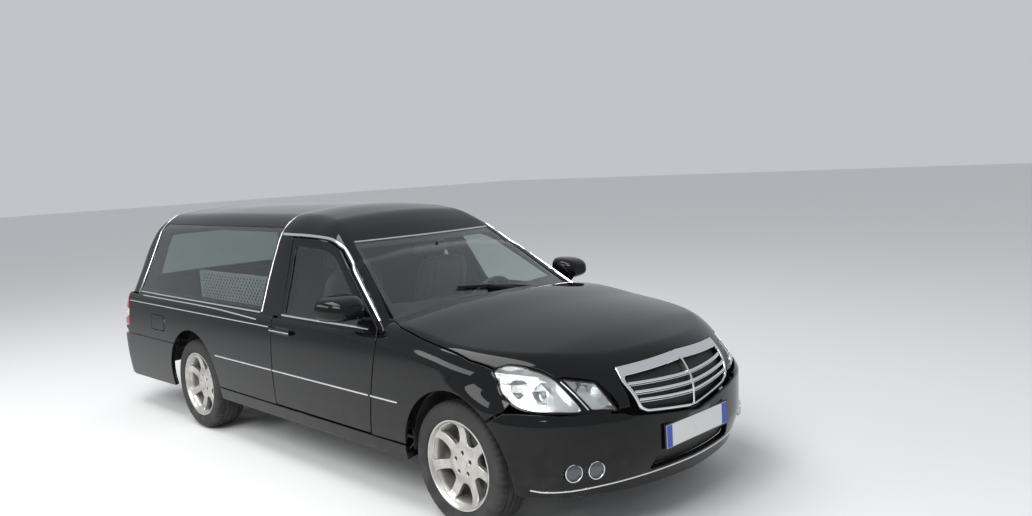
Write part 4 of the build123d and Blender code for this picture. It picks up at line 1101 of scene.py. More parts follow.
# Headlights: a large teardrop lamp and a slim inner one behind clear covers, parted by a bright bar.
# Clear plastic over silvered bowls with round reflectors, in a gloss black frame.


def lathe(profile, centre, axis, turns=48, closed=False):
    """Piece turned about an axis through centre: profile rows are place along the axis and radius."""
    along_axis = np.array(axis, float) / np.linalg.norm(axis)
    side = np.cross(along_axis, [0.0, 0.0, 1.0] if abs(along_axis[2]) < 0.9 else [1.0, 0.0, 0.0])
    side /= np.linalg.norm(side)
    other = np.cross(along_axis, side)
    a = np.linspace(0, 2 * pi, turns, endpoint=False)
    spokes = np.cos(a)[:, None] * side + np.sin(a)[:, None] * other
    d, r = np.asarray(profile, float).T
    rows = np.array(centre) + d[None, :, None] * along_axis + spokes[:, None, :] * r[None, :, None]
    cloud = rows.reshape(-1, 3)
    if closed:
        return rings_joined(cloud, len(d), True)
    a = np.arange(len(cloud)).reshape(turns, len(d))
    b = np.roll(a, -1, axis=0)
    quads = np.stack([a[:, :-1], a[:, 1:], b[:, 1:], b[:, :-1]], axis=-1).reshape(-1, 4)
    return outwards_only(cloud, [quads, a[:, 0][None], a[:, -1][None, ::-1]])


def mirrored_piece(piece):
    """The same closed piece on the other side of the car."""
    cloud, groups = piece
    return cloud * [1, -1, 1], [g[:, ::-1] for g in groups]


lamp_glass = glass("lamp_glass", (0.97, 0.98, 0.98))
silvered = finish_of("silvered", (0.74, 0.75, 0.75), 0.22, metal=0.9, dust=0.12, height=1.3, scale=22,
                     tint=(0.5, 0.48, 0.42))
lamp_end = lamp_curve[nearest(lamp_curve, LAMP[6]):]
hull = np.concatenate([lamp_top, inner_top, ((2.345, 0.592, 0.649), (2.318, 0.633, 0.651)), lamp_end])
lamp_rays, lamp_flat = flat_chart(np.mean(hull, axis=0) - np.array(on_wing) * 1.5, on_wing)


def lamp_loop(points, amount):
    """Lamp outline drawn in by an amount and carried back to the wing."""
    loop = ccw(lamp_flat(points))
    keep = np.linalg.norm(loop - np.roll(loop, 1, axis=0), axis=1) > 0.002
    return dropped(lower_body, *lamp_rays(shifted(loop[keep], amount)), 3.0)


frame_skin = skin(lower_body, on_wing, lamp_loop(hull, -0.006),
                  [lamp_loop(lamp_curve, 0.006), lamp_loop(inner_curve, 0.006)],
                  lift=-0.005, thick=0.006, hem=0.0015)
bowl_wall = ((-0.001, -0.007), (-0.001, -0.058), (0.001, -0.058), (0.001, -0.007))
covers, floors, bowls = [], [], []
for curve in (lamp_curve, inner_curve):
    covers.append(skin(lower_body, on_wing, lamp_loop(curve, 0.0015), thick=0.003, hem=0.002))
    floors.append(skin(lower_body, on_wing, lamp_loop(curve, 0.006), lift=-0.055, thick=0.003, hem=0.0))
    bowls.append(strip_on(lower_body, lamp_loop(curve, 0.006), bowl_wall, closed=True))
OUTER_LIGHT, HIGH_LIGHT, INNER_LIGHT = (2.152, 0.708, 0.727), (2.052, 0.764, 0.752), (2.262, 0.563, 0.712)
REFLECTOR = (
    (-0.034, 0.006), (-0.03, 0.016), (-0.02, 0.03), (-0.006, 0.041), (0.004, 0.046), (0.006, 0.0485),
    (0.002, 0.05), (-0.03, 0.046), (-0.038, 0.02),
)
LAMP_AXIS = (0.93, 0.34, 0.1)
lamp_rounds = [lathe(np.array(REFLECTOR) * scale, centre, LAMP_AXIS, 40)
               for scale, centre in ((1, OUTER_LIGHT), (0.86, HIGH_LIGHT), (0.7, INNER_LIGHT))]
bulb = ((-0.03, 0.004), (-0.012, 0.012), (0.0, 0.015), (0.007, 0.011), (0.01, 0.003))
lamp_rounds += [lathe(bulb, centre, LAMP_AXIS, 24) for centre in (OUTER_LIGHT, HIGH_LIGHT)]
divider_path = loop_of(((2.207, 0.648, 0.777), (2.27, 0.628, 0.723), (2.332, 0.604, 0.653)), 0.012, False)
divider = strip_on(lower_body, dropped(lower_body, *lamp_rays(lamp_flat(divider_path)), 3.0),
                   rounded_bar(0.007, 0.003, 0.006))
both_sides("lamp_frames", [frame_skin], "root", [black_paint], ["headlights"])
both_sides("lamp_covers", covers, "root", [lamp_glass])
both_sides("lamp_floors", floors, "root", [silvered])
lamp_inside = bowls + lamp_rounds + [divider]
assembled("lamp_bowls", lamp_inside + [mirrored_piece(b) for b in lamp_inside], "root", [silvered])

# Fog lamps, intake mesh, number plate and lip strip: fittings of the front bumper.
# Chromed rings with dark lenses, black mesh, a blank white plate with blue ends in a black holder.


def prism(ring, shift):
    """Closed piece between a flat ring of points and the same ring shifted."""
    return rings_joined(np.concatenate([ring, np.asarray(ring) + shift]), len(ring))


def block(lo, hi, bevel=0.0):
    """Box between two corners, its upright edges cut by a bevel."""
    (x0, y0, z0), (x1, y1, z1), b = lo, hi, bevel
    if bevel:
        ring = [(x0 + b, y0), (x1 - b, y0), (x1, y0 + b), (x1, y1 - b), (x1 - b, y1), (x0 + b, y1),
                (x0, y1 - b), (x0, y0 + b)]
    else:
        ring = [(x0, y0), (x1, y0), (x1, y1), (x0, y1)]
    return prism(np.array([(x, y, z0) for x, y in ring]), [0, 0, z1 - z0])


dark_lens = finish_of("dark_lens", (0.05, 0.055, 0.06), 0.08, coat=1.0, dust=0.08, height=0.6, scale=30)
plate_white = finish_of("plate_white", (0.7, 0.71, 0.7), 0.35, dust=0.12, height=0.9, scale=30)
plate_blue = finish_of("plate_blue", (0.02, 0.07, 0.42), 0.35, dust=0.1, height=0.9, scale=30)
FOG_RING = ((-0.012, 0.036), (0.004, 0.0365), (0.008, 0.039), (0.007, 0.0425), (0.002, 0.0435),
            (-0.012, 0.0425))
FOG_LENS = ((-0.03, 0.004), (-0.03, 0.036), (-0.002, 0.036), (0.001, 0.028), (0.003, 0.014), (0.0035, 0.003))
rings, lenses = [], []
for y, z in FOG_LAMPS:
    centre = seen_ahead(bumper_shape, ((y, z), (y, z + 0.001)), 1.0)[0]
    way = outward(bumper_shape, centre[None])[0] * [1, 1, 0] + [0.5, 0, 0]
    rings.append(lathe(FOG_RING, centre, way, 48, closed=True))
    lenses.append(lathe(FOG_LENS, centre, way, 48))
lip_points = np.array(((0.835, 0.299), (0.78, 0.28), (0.691, 0.279), (0.553, 0.292), (0.334, 0.302),
                       (0.0, 0.306)))
lip_line = seen_ahead(bumper_shape, both_halves(curve_through(lip_points, 0.02, False)), 1.0)
lip_line = lip_line[np.argsort(lip_line[:, 1])]
rings += [mirrored_piece(r) for r in rings]
rings.append(strip_on(bumper_shape, lip_line, rounded_bar(0.009, 0.004)))
assembled("bumper_chrome", rings, "root", [chrome])
assembled("fog_lenses", lenses + [mirrored_piece(p) for p in lenses], "root", [dark_lens])
mesh_loop = nose_line(seen_ahead(bumper_shape, soften(np.array(AIR_INTAKE) * [1.04, 1], 0.02), closed=True))
panel("intake_mesh",
      [trimmed(bumper_shape, on_nose, [shifted(ccw(mesh_loop), -0.008)], lift=-0.035, thick=0.003, hem=0.0)],
      "root", [black_mesh])
PLATE_X, PLATE_Z = 2.5125, 0.468


def plate_parts(z, holder, face, ends, holder_half):
    """Holder, blank face and two end fields of a plate at a height, each between two places along x."""
    parts = [block((holder[0], -0.268, z - holder_half), (holder[1], 0.268, z + holder_half))]
    parts.append(block((face[0], -0.26, z - 0.055), (face[1], 0.26, z + 0.055)))
    return parts + [block((ends[0], a, z - 0.0535), (ends[1], a + 0.0435, z + 0.0535))
                    for a in (-0.2585, 0.215)]


plate_pieces = plate_parts(PLATE_Z, (PLATE_X - 0.004, PLATE_X + 0.0015), (PLATE_X, PLATE_X + 0.003),
                           (PLATE_X, PLATE_X + 0.0034), 0.062)
assembled("front_plate", plate_pieces, "root", [black_plastic, plate_white, plate_blue], slots=[0, 1, 2, 2])

# Chrome strips: rain gutters, header strip, hoops over the roof, belt strips and body strips.
# Rolled bright metal, each clipped on along a line of the body.
gutter = curve_through((
    (-0.168, 1.4185), (0.08, 1.4125), (0.299, 1.3975), (0.395, 1.3745), (0.485, 1.3345), (0.624, 1.2415),
    (0.766, 1.1465), (0.887, 1.0655), (1.02, 0.976)), 0.02, False)
belt_upper = curve_through(((-2.0, 0.9205), (-0.95, 0.9175), (-0.519, 0.908), (-0.186, 0.895)), 0.03, False)
belt_lower = curve_through(((-2.24, 0.866), (-1.2, 0.8645), (-0.03, 0.862)), 0.03, False)
glass_foot = loop_of(((-2.1, 0.9415), (-0.175, 0.9365)), 0.03, False)
door_belt = curve_through(((0.084, 0.9405), (0.46, 0.9395), (0.98, 0.9395)), 0.03, False)
body_strip_rear = loop_of(((-0.776, 0.593), (-0.006, 0.593)), 0.03, False)
body_strip_door = loop_of(((0.006, 0.593), (1.03, 0.593)), 0.03, False)
body_strip_wing = loop_of(((1.05, 0.593), (1.29, 0.593)), 0.03, False)


def side_strip(shape, line, width, height):
    """The same strip on both sides, along side-view points x, z."""
    piece = strip_on(shape, out_to(shape, line), rounded_bar(width, height))
    return [piece, mirrored_piece(piece)]


def hoop_strip(side_points, x_top, width=0.011, height=0.005):
    """Strip over the roof: up one side along side-view points, across at one x, and down the other side."""
    left = on_roof_chart(upper_body, loop_of(side_points, 0.02, False))
    across = np.linspace(left[-1, 1], -left[-1, 1], 60)[1:-1]
    line = np.concatenate([left, np.column_stack([np.full(58, x_top), across]), (left * mirror_uv)[::-1]])
    return strip_on(upper_body, dropped(upper_body, *on_roof(line), REACH), rounded_bar(width, height))


HOOP_FRONT = ((-0.164, 0.94), (-0.186, 1.12), (-0.194, 1.24), (-0.195, 1.36), (-0.195, 1.45))
root_strips = side_strip(upper_body, gutter, 0.018, 0.006) + side_strip(lower_body, belt_lower, 0.008, 0.004)
root_strips += side_strip(lower_body, belt_upper, 0.009, 0.004)
root_strips += side_strip(upper_body, glass_foot, 0.012, 0.005)
root_strips += side_strip(lower_body, body_strip_rear, 0.011, 0.005)
root_strips += side_strip(lower_body, body_strip_wing, 0.011, 0.005)
root_strips += [hoop_strip(HOOP_FRONT, -0.195, 0.007, 0.003),
                hoop_strip(REAR_HOOP, REAR_HOOP[-1][0], 0.015, 0.005)]
root_strips.append(strip_on(upper_body, header_line(0.007, 0.545, 60), rounded_bar(0.012, 0.004)))
assembled("body_chrome", root_strips, "root", [chrome])
door_strips = [*zip(side_strip(upper_body, door_belt, 0.012, 0.005),
                    side_strip(lower_body, body_strip_door, 0.011, 0.005))]
for (side, far_side), pieces in zip(SIDES, door_strips):
    assembled("door_chrome_" + side, list(pieces), "door_" + side, [chrome])

# Wheels: cast alloy wheels of seven broad spokes on ribbed tyres, held by five bolts.
# Silver lacquer dulled by brake dust; the cap is blank.
# Steel brake discs and callipers show between the spokes.
alloy = finish_of("alloy", (0.56, 0.55, 0.52), 0.34, metal=0.75, dust=0.5, height=1.1, scale=18,
                  tint=(0.16, 0.13, 0.1))
brake_steel = finish_of("brake_steel", (0.25, 0.24, 0.23), 0.4, metal=0.9, dust=0.4, height=0.8, scale=30,
                        tint=(0.12, 0.07, 0.04))
rubber = finish_of("rubber", (0.018, 0.018, 0.019), 0.78, dust=0.4, height=0.8, scale=12,
                   tint=(0.11, 0.1, 0.09))
SPOKES, BOLTS, BOLT_CIRCLE = 7, 5, 0.056
HUB, AXLE_WAY, HUB_HEIGHT = (0, 0, 0), (0, 1, 0), 0.325
FACE_RADII = (0.0, 0.03, 0.066, 0.12, 0.17, 0.204, 0.216)
FACE_DEPTHS = (0.064, 0.064, 0.0625, 0.052, 0.058, 0.076, 0.086)
SPOKE_WINDOW = ((0.106, 0.014), (0.12, 0.029), (0.15, 0.0445), (0.188, 0.0625), (0.1995, 0.052),
                (0.2045, 0.0))
BARREL = (
    (-0.095, 0.217), (-0.095, 0.229), (-0.06, 0.2085), (0.055, 0.2085), (0.084, 0.2275), (0.096, 0.231),
    (0.099, 0.229), (0.099, 0.223), (0.094, 0.2185), (0.083, 0.2155), (0.07, 0.2035), (0.05, 0.1975),
    (-0.064, 0.1975),
)
TYRE_SIDE = (
    (0.094, 0.2315), (0.101, 0.2345), (0.1045, 0.2405), (0.106, 0.248), (0.1078, 0.262), (0.1078, 0.276),
    (0.1062, 0.291), (0.1025, 0.303), (0.0985, 0.31), (0.093, 0.3155), (0.0865, 0.3192), (0.08, 0.3208),
)


def wheel_face(x, y, z):
    """Distance in front of the wheel's dished face, whose depth follows the radius."""
    return y - along(FACE_RADII, FACE_DEPTHS, np.hypot(x, z))


def turned_loop(points, angle):
    """Outline given as radius and half width, turned to an angle."""
    p = np.asarray(points, float)
    full = np.concatenate([p, (p * [1, -1])[::-1][1:]])
    c, s = cos(angle), sin(angle)
    return soften(full @ np.array([[c, s], [-s, c]]), 0.012)


def spoke_disc(phase):
    """Face of the wheel with windows between the spokes and bolt holes, turned to an angle."""
    loops = [arc_of(0, 0, 0.2145, 0, 358, 0.01)]
    loops += [loop_of(turned_loop(SPOKE_WINDOW, phase + 2 * pi * (k + 0.5) / SPOKES), 0.008)
              for k in range(SPOKES)]
    for k in range(BOLTS):
        a = phase + 2 * pi * k / BOLTS
        loops.append(arc_of(BOLT_CIRCLE * cos(a), BOLT_CIRCLE * sin(a), 0.0105, 0, 340, 0.004))
    return trimmed(wheel_face, on_side, loops, pitch=0.008, hem=0.005, thick=0.03, far=0.15)


def tread(half=0.08, crown=0.0035, grooves=(-0.055, -0.0195, 0.0195, 0.055), width=0.0085, deep=0.0065):
    """Profile across the tread: a low crown with four grooves."""
    rows = []
    for g in grooves:
        for d, cut in ((-width / 2 - 0.001, 0), (-width / 2 + 0.001, 1), (width / 2 - 0.001, 1),
                       (width / 2 + 0.001, 0)):
            rows.append((g + d, 0.3248 - crown * ((g + d) / half) ** 2 - deep * cut))
    return rows


def tyre_piece(blocks=54, per_block=4):
    """Tyre section carried round the axle; narrow slots cross the shoulders between the blocks."""
    outer = list(TYRE_SIDE)
    bore = [(-0.06, 0.2105), (0.0, 0.2095), (0.055, 0.2105)]
    profile = outer + tread()[::-1] + [(-d, r) for d, r in reversed(outer)] + bore
    cloud, groups = lathe(profile, HUB, AXLE_WAY, blocks * per_block, closed=True)
    rows = cloud.reshape(blocks * per_block, len(profile), 3)
    radius = np.hypot(rows[..., 0], rows[..., 2])
    first = np.arange(len(rows)) % per_block == 0
    slot = first[:, None] & (np.abs(rows[..., 1]) > 0.058) & (radius > 0.309)
    shrink = np.where(slot, (radius - 0.005) / radius, 1.0)
    rows = rows * np.stack([shrink, np.ones_like(shrink), shrink], axis=-1)
    return rows.reshape(-1, 3), groups


def calliper(a0, a1):
    """Brake calliper: a U section that straddles the disc, carried along an arc."""
    a = np.radians(np.linspace(a0, a1, 14))
    radial = np.column_stack([np.cos(a), 0 * a, np.sin(a)])
    section = (
        (-0.04, 0.1), (-0.04, 0.166), (0.02, 0.166), (0.02, 0.1), (0.01, 0.1), (0.01, 0.154), (-0.014, 0.154),
        (-0.014, 0.1),
    )
    return swept(0 * radial, np.broadcast_to([0.0, 1.0, 0.0], radial.shape), radial, section)


def as_piece(part):
    """A trimmed skin as a closed piece."""
    points, faces, quads, inner, _ = part
    return points, [faces, quads, inner]


BRAKE_DISC = ((-0.006, 0.07), (-0.006, 0.148), (0.005, 0.15), (0.005, 0.085), (0.022, 0.08), (0.022, 0.03),
              (0.012, 0.03), (0.012, 0.07))
CAP = ((0.04, 0.033), (0.061, 0.033), (0.0655, 0.031), (0.0675, 0.026), (0.0662, 0.02), (0.0668, 0.01),
       (0.067, 0.002))
BOLT = ((0.03, 0.0085), (0.047, 0.0085), (0.0495, 0.007), (0.0495, 0.003))


def placed(pieces, x, y, far_side):
    """Wheel pieces moved from the origin to their hub, turned about for the right side."""
    done = [mirrored_piece(piece) if far_side else piece for piece in pieces]
    return [(cloud + [x, -y if far_side else y, HUB_HEIGHT], groups) for cloud, groups in done]


tyre_mesh = tyre_piece()
for end, x, y, phases in (("front", 1.685, 0.766, (0.35, 0.0)), ("rear", -1.169, 0.77, (0.2, 0.25))):
    for (side, far_side), phase in zip(SIDES, phases):
        start = pi / 2 + phase
        turns = [start + 2 * pi * k / BOLTS for k in range(BOLTS)]
        bolts = [lathe(BOLT, (BOLT_CIRCLE * cos(a), 0, BOLT_CIRCLE * sin(a)), AXLE_WAY, 6) for a in turns]
        alloy_parts = [as_piece(spoke_disc(start)), lathe(BARREL, HUB, AXLE_WAY, 96, closed=True),
                       lathe(CAP, HUB, AXLE_WAY, 40)]
        steel = [lathe(BRAKE_DISC, HUB, AXLE_WAY, 64, closed=True), *bolts]
        name, body = f"{end}_{side}", f"wheel_{end}_{side}"
        assembled("alloy_wheel_" + name, placed(alloy_parts, x, y, far_side), body, [alloy], ["rim_" + name])
        assembled("wheel_steel_" + name, placed(steel, x, y, far_side), body, [brake_steel])
        assembled("tyre_tread_" + name, placed([tyre_mesh], x, y, far_side), body, [rubber], ["tyre_" + name])
        carrier = "knuckle_" + side if end == "front" else "root"
        assembled("calliper_" + name, placed([calliper(28, 82)], x, y, far_side), carrier, [cast_iron])

# Door mirrors, handles, wiper and cowl grid: moulded housings with a silvered glass, pull handles, one wiper.
# Gloss black mirror shells on black feet, painted handles with a chromed strip, satin black wiper.
mirror_glass = finish_of("mirror_glass", (0.8, 0.82, 0.84), 0.02, metal=1.0, dust=0.05, height=1.4, scale=20)
MIRROR_AT, MIRROR_HALF = (0.806, 0.946, 1.056), (0.178, 0.119, 0.072)


def squared(t, power):
    """A sine or cosine bent towards a square: its size to the power 2 over power, with its own sign."""
    return np.sign(t) * np.abs(t) ** (2 / power)


def egg(centre, half, power=2.6, flat=3.2, rows=18, turns=44):
    """Half egg with a flat back: superelliptic sections that shrink towards the front tip."""
    t = np.linspace(0, 1, rows)[:-1, None]
    shrink = (1 - t ** power) ** (1 / power)
    a = np.linspace(0, 2 * pi, turns, endpoint=False)
    y = squared(np.cos(a), flat)
    z = squared(np.sin(a), flat) * (1 - 0.1 * y)
    cloud = np.stack([
        centre[0] + half[0] * t + 0 * y,
        centre[1] + half[1] * shrink * y - 0.02 * t,
        centre[2] + half[2] * shrink * z - 0.008 * t ** 2,
    ], axis=-1).reshape(-1, 3)
    return rings_joined(cloud, turns)


def flat_plate(centre, half, flat=3.2, thick=0.002, turns=44):
    """Upright plate whose outline is a superellipse."""
    a = np.linspace(0, 2 * pi, turns, endpoint=False)
    ring = np.column_stack([0 * a, squared(np.cos(a), flat) * half[0], squared(np.sin(a), flat) * half[1]])
    return prism(ring + centre, [-thick, 0, 0])


shell = egg(MIRROR_AT, MIRROR_HALF)
mirror_face = flat_plate((MIRROR_AT[0] - 0.0005, MIRROR_AT[1], MIRROR_AT[2]), (0.103, 0.058))
foot_line = np.array(((0.905, 0.878, 1.0), (0.915, 0.853, 0.99), (0.925, 0.826, 0.985), (0.93, 0.812, 0.983)))
foot_ways = [np.broadcast_to(way, foot_line.shape) for way in ([1.0, 0.0, 0.0], [0.0, 0.0, 1.0])]
FOOT_SECTION = ((-0.045, -0.012), (0.04, -0.012), (0.048, 0.0), (0.03, 0.014), (-0.035, 0.014))
foot = swept(foot_line, *foot_ways, FOOT_SECTION)
sail = skin(upper_body, DOOR_RAY,
            out_to(upper_body, loop_of(((0.86, 0.944), (0.985, 0.944), (0.865, 1.025)), 0.02)),
            lift=0.003, thick=0.008, hem=0.002)
grip_path = out_to(lower_body, loop_of(((0.015, 0.848), (0.25, 0.848)), 0.012, False))
grip = strip_on(lower_body, grip_path, [(a, b + 0.012) for a, b in rounded_bar(0.026, 0.012, 0.002)])
grip_ends = [strip_on(lower_body, grip_path[k], rounded_bar(0.024, 0.014, 0.002))
             for k in (slice(0, 3), slice(-3, None))]
grip_chrome = strip_on(lower_body, grip_path, [(a, b + 0.0235) for a, b in rounded_bar(0.006, 0.002, 0.001)])
hollow = strip_on(lower_body, grip_path[3:-3], rounded_bar(0.046, 0.0016, 0.002))
for side, far_side in SIDES:
    way = mirrored_piece if far_side else (lambda piece: piece)
    body = "door_" + side
    assembled("mirror_shell_" + side, [way(p) for p in (shell, foot, as_piece(sail))], body, [black_paint],
              ["door_mirror_" + side])
    assembled("mirror_face_" + side, [way(mirror_face)], body, [mirror_glass])
    assembled("handle_" + side, [way(p) for p in (grip, *grip_ends, grip_chrome, hollow)], body,
              [black_paint, chrome, dark_trim], slots=[0, 0, 0, 1, 2])

blade_plan = np.column_stack([np.linspace(0.985, 1.085, 30), np.linspace(-0.2, 0.43, 30)])
blade_line = up_to(upper_body, blade_plan)
arm_line = up_to(upper_body, np.column_stack([np.linspace(1.115, 1.03, 24), np.linspace(0.32, 0.02, 24)]))
wiper_parts = [strip_on(upper_body, blade_line, rounded_bar(0.012, 0.016, 0.0)),
               strip_on(upper_body, arm_line, rounded_bar(0.017, 0.026, -0.017)),
               lathe(((-0.02, 0.017), (0.012, 0.017), (0.02, 0.012), (0.023, 0.003)),
                     arm_line[0] + [0.006, 0.012, 0.004], (0.2, 0, 1), 24)]
assembled("wiper_arm", wiper_parts, "root", [black_plastic], ["wiper"])
cowl_front, cowl_back = np.linspace(-0.745, 0.745, 50), np.linspace(0.725, -0.725, 50)
cowl_outline = np.concatenate([
    up_to(body_shape, np.column_stack([1.178 - 0.077 * (cowl_front / 0.745) ** 2, cowl_front])),
    up_to(body_shape, np.column_stack([1.118 - 0.075 * (cowl_back / 0.725) ** 2, cowl_back])),
])
cowl = skin(body_shape, (0.1, 0, 1), cowl_outline, lift=-0.004, thick=0.02, hem=0.002)
panel("cowl_grid", [cowl], "root", [black_plastic])

# Rear fittings: bumper ledge, handle strip and blank plate on the tailgate, and reflectors.
# Painted and chromed trim, screwed or clipped on.
ledge_front = seen_behind(bumper_shape, loop_of(((0.84, 0.598), (-0.84, 0.598)), 0.03, False), 1.0)
ledge_back = np.column_stack([np.full(len(ledge_front), -2.39), ledge_front[::-1, 1] * 0.96,
                              np.full(len(ledge_front), 0.601)])
ledge_top = np.concatenate([ledge_front + [0.004, 0, 0], ledge_back])
assembled("bumper_ledge", [prism(ledge_top, [0, 0, -0.012])], "root", [black_paint])
REAR_PLATE_Z = 0.79
plate_seat = seen_behind(body_shape, ((0.0, REAR_PLATE_Z), (0.0, REAR_PLATE_Z + 0.01)), 1.0)
plate_face = float(plate_seat[:, 0].min())
rear_pieces = plate_parts(REAR_PLATE_Z, (plate_face - 0.004, plate_face + 0.02),
                          (plate_face - 0.0065, plate_face), (plate_face - 0.0069, plate_face), 0.06)
gate_bar = strip_on(body_shape, seen_behind(body_shape, ((-0.4, 0.876), (0.4, 0.876)), 0.03),
                    rounded_bar(0.03, 0.014))
assembled("rear_plate", [*rear_pieces, gate_bar], "tailgate",
          [black_plastic, plate_white, plate_blue, chrome], slots=[0, 1, 2, 2, 3])
REFLEX = ((0.56, 0.43), (0.78, 0.43), (0.78, 0.455), (0.56, 0.455))
reflex_loop = seen_behind(bumper_shape, soften(REFLEX, 0.008), closed=True)
reflex = skin(bumper_shape, REARWARD, reflex_loop, lift=0.001, thick=0.004, hem=0.001)
both_sides("rear_reflectors", [reflex], "root", [red_lens])

# Cabin and load space: dashboard, steering wheel, deck, partition, ceiling lamps and a white lattice panel.
# Grained plastic, brushed steel and painted wood, seen through the windows.
lining_grey = finish_of("lining_grey", (0.2, 0.2, 0.2), 0.8, dust=0.2, height=1.2, scale=30)
deck_steel = finish_of("deck_steel", (0.42, 0.42, 0.42), 0.38, metal=0.9, dust=0.25, height=0.9, scale=16)
lattice_white = finish_of("lattice_white", (0.84, 0.84, 0.82), 0.55, dust=0.15, height=1.2, scale=30)
wear(cabin_trim, "dashboard", "steering_wheel", "interior_mirror")
wear(lining_grey, "partition")
wear(deck_steel, "load_deck")


def lattice_panel(x0, x1, y, z0, z1, pitch=0.034, width=0.011, deep=0.006):
    """Diamond lattice in a frame: thin four-sided bars at 45 degrees both ways, cut to the panel."""
    pieces, mid = [], (z0 + z1) / 2
    for way in (1, -1):
        for c in np.arange(x0 - (z1 - z0), x1 + (z1 - z0), pitch * 1.414):
            xa, xb = sorted((c, c + way * (z1 - z0)))
            xa, xb = max(xa, x0), min(xb, x1)
            if xb - xa < 0.01:
                continue
            za, zb = (z0 + (xa - c), z0 + (xb - c)) if way > 0 else (z0 + (c - xa), z0 + (c - xb))
            line = np.array(((xa, y, za), (xb, y, zb)))
            t = (line[1] - line[0]) / np.linalg.norm(line[1] - line[0])
            across = np.broadcast_to(np.cross(t, [0, 1, 0]), line.shape)
            inner, outer = (way - 1) * deep / 2, (way + 1) * deep / 2
            section = ((-width / 2, inner), (width / 2, inner), (width / 2, outer), (-width / 2, outer))
            pieces.append(swept(line, across, np.broadcast_to([0.0, 1.0, 0.0], line.shape), section))
    for a, b in (((x0, z0), (x1, z0 + 0.014)), ((x0, z1 - 0.014), (x1, z1)), ((x0, z0), (x0 + 0.014, z1)),
                 ((x1 - 0.014, z0), (x1, z1))):
        pieces.append(block((a[0], y - 0.008, a[1]), (b[0], y + 0.008, b[1])))
    return pieces


assembled("lattice_panel", lattice_panel(-1.78, -0.3, -0.5, 0.84, 1.085), "root", [lattice_white])
lamps_inside = [lathe(((0.0, 0.03), (-0.006, 0.028), (-0.009, 0.012), (-0.0095, 0.002)), (x, 0.2, 1.512),
                      (0, 0, 1), 24) for x in (-1.5, -0.75)]
assembled("ceiling_lamps", lamps_inside, "root", [pale_lens])

# Front seats: foam cushions under grey woven cloth, with sewn channels, on low steel frames.
# Each pad is a rounded block blown up as cloth under pressure; the channels are pressed in afterwards.
SEAT_LEAN, SEAT_Y = radians(16), 0.37
PADS = (
    ("cushion", (0.405, 0.0, 0.563), (0.238, 0.238, 0.058), radians(3), (-0.115, 0.115), (-0.07, 0.07)),
    ("backrest", (0.122, 0.0, 0.9), (0.048, 0.228, 0.3), SEAT_LEAN, (-0.12, 0.12), (-0.12, 0.0, 0.12)),
    ("headrest", (0.028, 0.0, 1.238), (0.034, 0.126, 0.058), SEAT_LEAN, (), ()),
)


def tilted(cloud, centre, lean):
    """Points leaned backwards about the y axis through their own centre, then moved to the centre."""
    c, q = cos(lean), sin(lean)
    return cloud @ np.array([[c, 0, q], [0, 1, 0], [-q, 0, c]]) + centre


def soft_block(half, power=4.5, rows=26, turns=52):
    """Superellipsoid: a block with crowned faces and round edges."""
    v = np.linspace(-pi / 2, pi / 2, rows)[1:-1]
    u = np.linspace(0, 2 * pi, turns, endpoint=False)
    x = squared(np.cos(v), power)[:, None] * squared(np.cos(u), power)
    y = squared(np.cos(v), power)[:, None] * squared(np.sin(u), power)
    z = squared(np.sin(v), power)[:, None] + 0 * x
    cloud = np.stack([x, y, z], axis=-1).reshape(-1, 3) * half
    return rings_joined(cloud, turns)


def coordinates(mesh):
    """Points of a mesh as one array."""
    flat = np.empty(len(mesh.vertices) * 3, np.float32)
    mesh.vertices.foreach_get("co", flat)
    return flat.reshape(-1, 3).astype(float)


def puffed(thing, voxel=0.009, cap=0.008):
    """Pad remeshed and swollen as cloth under inner pressure, each point's travel cut off at a cap."""
    remesh = thing.modifiers.new("remesh", "REMESH")
    remesh.mode = "VOXEL"
    remesh.voxel_size = voxel
    solid = bpy.data.meshes.new_from_object(thing.evaluated_get(bpy.context.evaluated_depsgraph_get()))
    thing.modifiers.clear()
    thing.data = solid
    solid.shade_smooth()
    start = coordinates(solid)
    cloth = thing.modifiers.new("cloth", "CLOTH")
    cloth.settings.quality = 4
    cloth.settings.use_pressure = True
    cloth.settings.uniform_pressure_force = 4
    cloth.settings.effector_weights.gravity = 0
    cloth.point_cache.frame_end = 16
    for frame_number in range(1, 17):
        bpy.context.scene.frame_set(frame_number)
    swollen = coordinates(thing.evaluated_get(bpy.context.evaluated_depsgraph_get()).data)
    thing.modifiers.clear()
    bpy.context.scene.frame_set(1)
    move = swollen - start
    far = np.linalg.norm(move, axis=1)[:, None]
    move *= np.minimum(1, cap / np.maximum(far, 1e-9))
    solid.vertices.foreach_set("co", (start + move).astype(np.float32).ravel())
    solid.update()


def channelled(cloud, half, lines_y, lines_u, deep=0.007, wide=0.006):
    """Sewn channels: the surface pulled in along straight seams, across y and along the pad's length."""
    axis = 2 if half[2] > half[0] else 0
    pull = np.zeros(len(cloud))
    for k, lines in ((1, lines_y), (axis, lines_u)):
        for line in lines:
            pull = np.maximum(pull, np.exp(-((cloud[:, k] - line) / wide) ** 2))
    thin = 2 - axis
    cloud[:, thin] -= np.sign(cloud[:, thin]) * pull * deep * (np.abs(cloud[:, thin]) > 0.4 * half[thin])
    return cloud


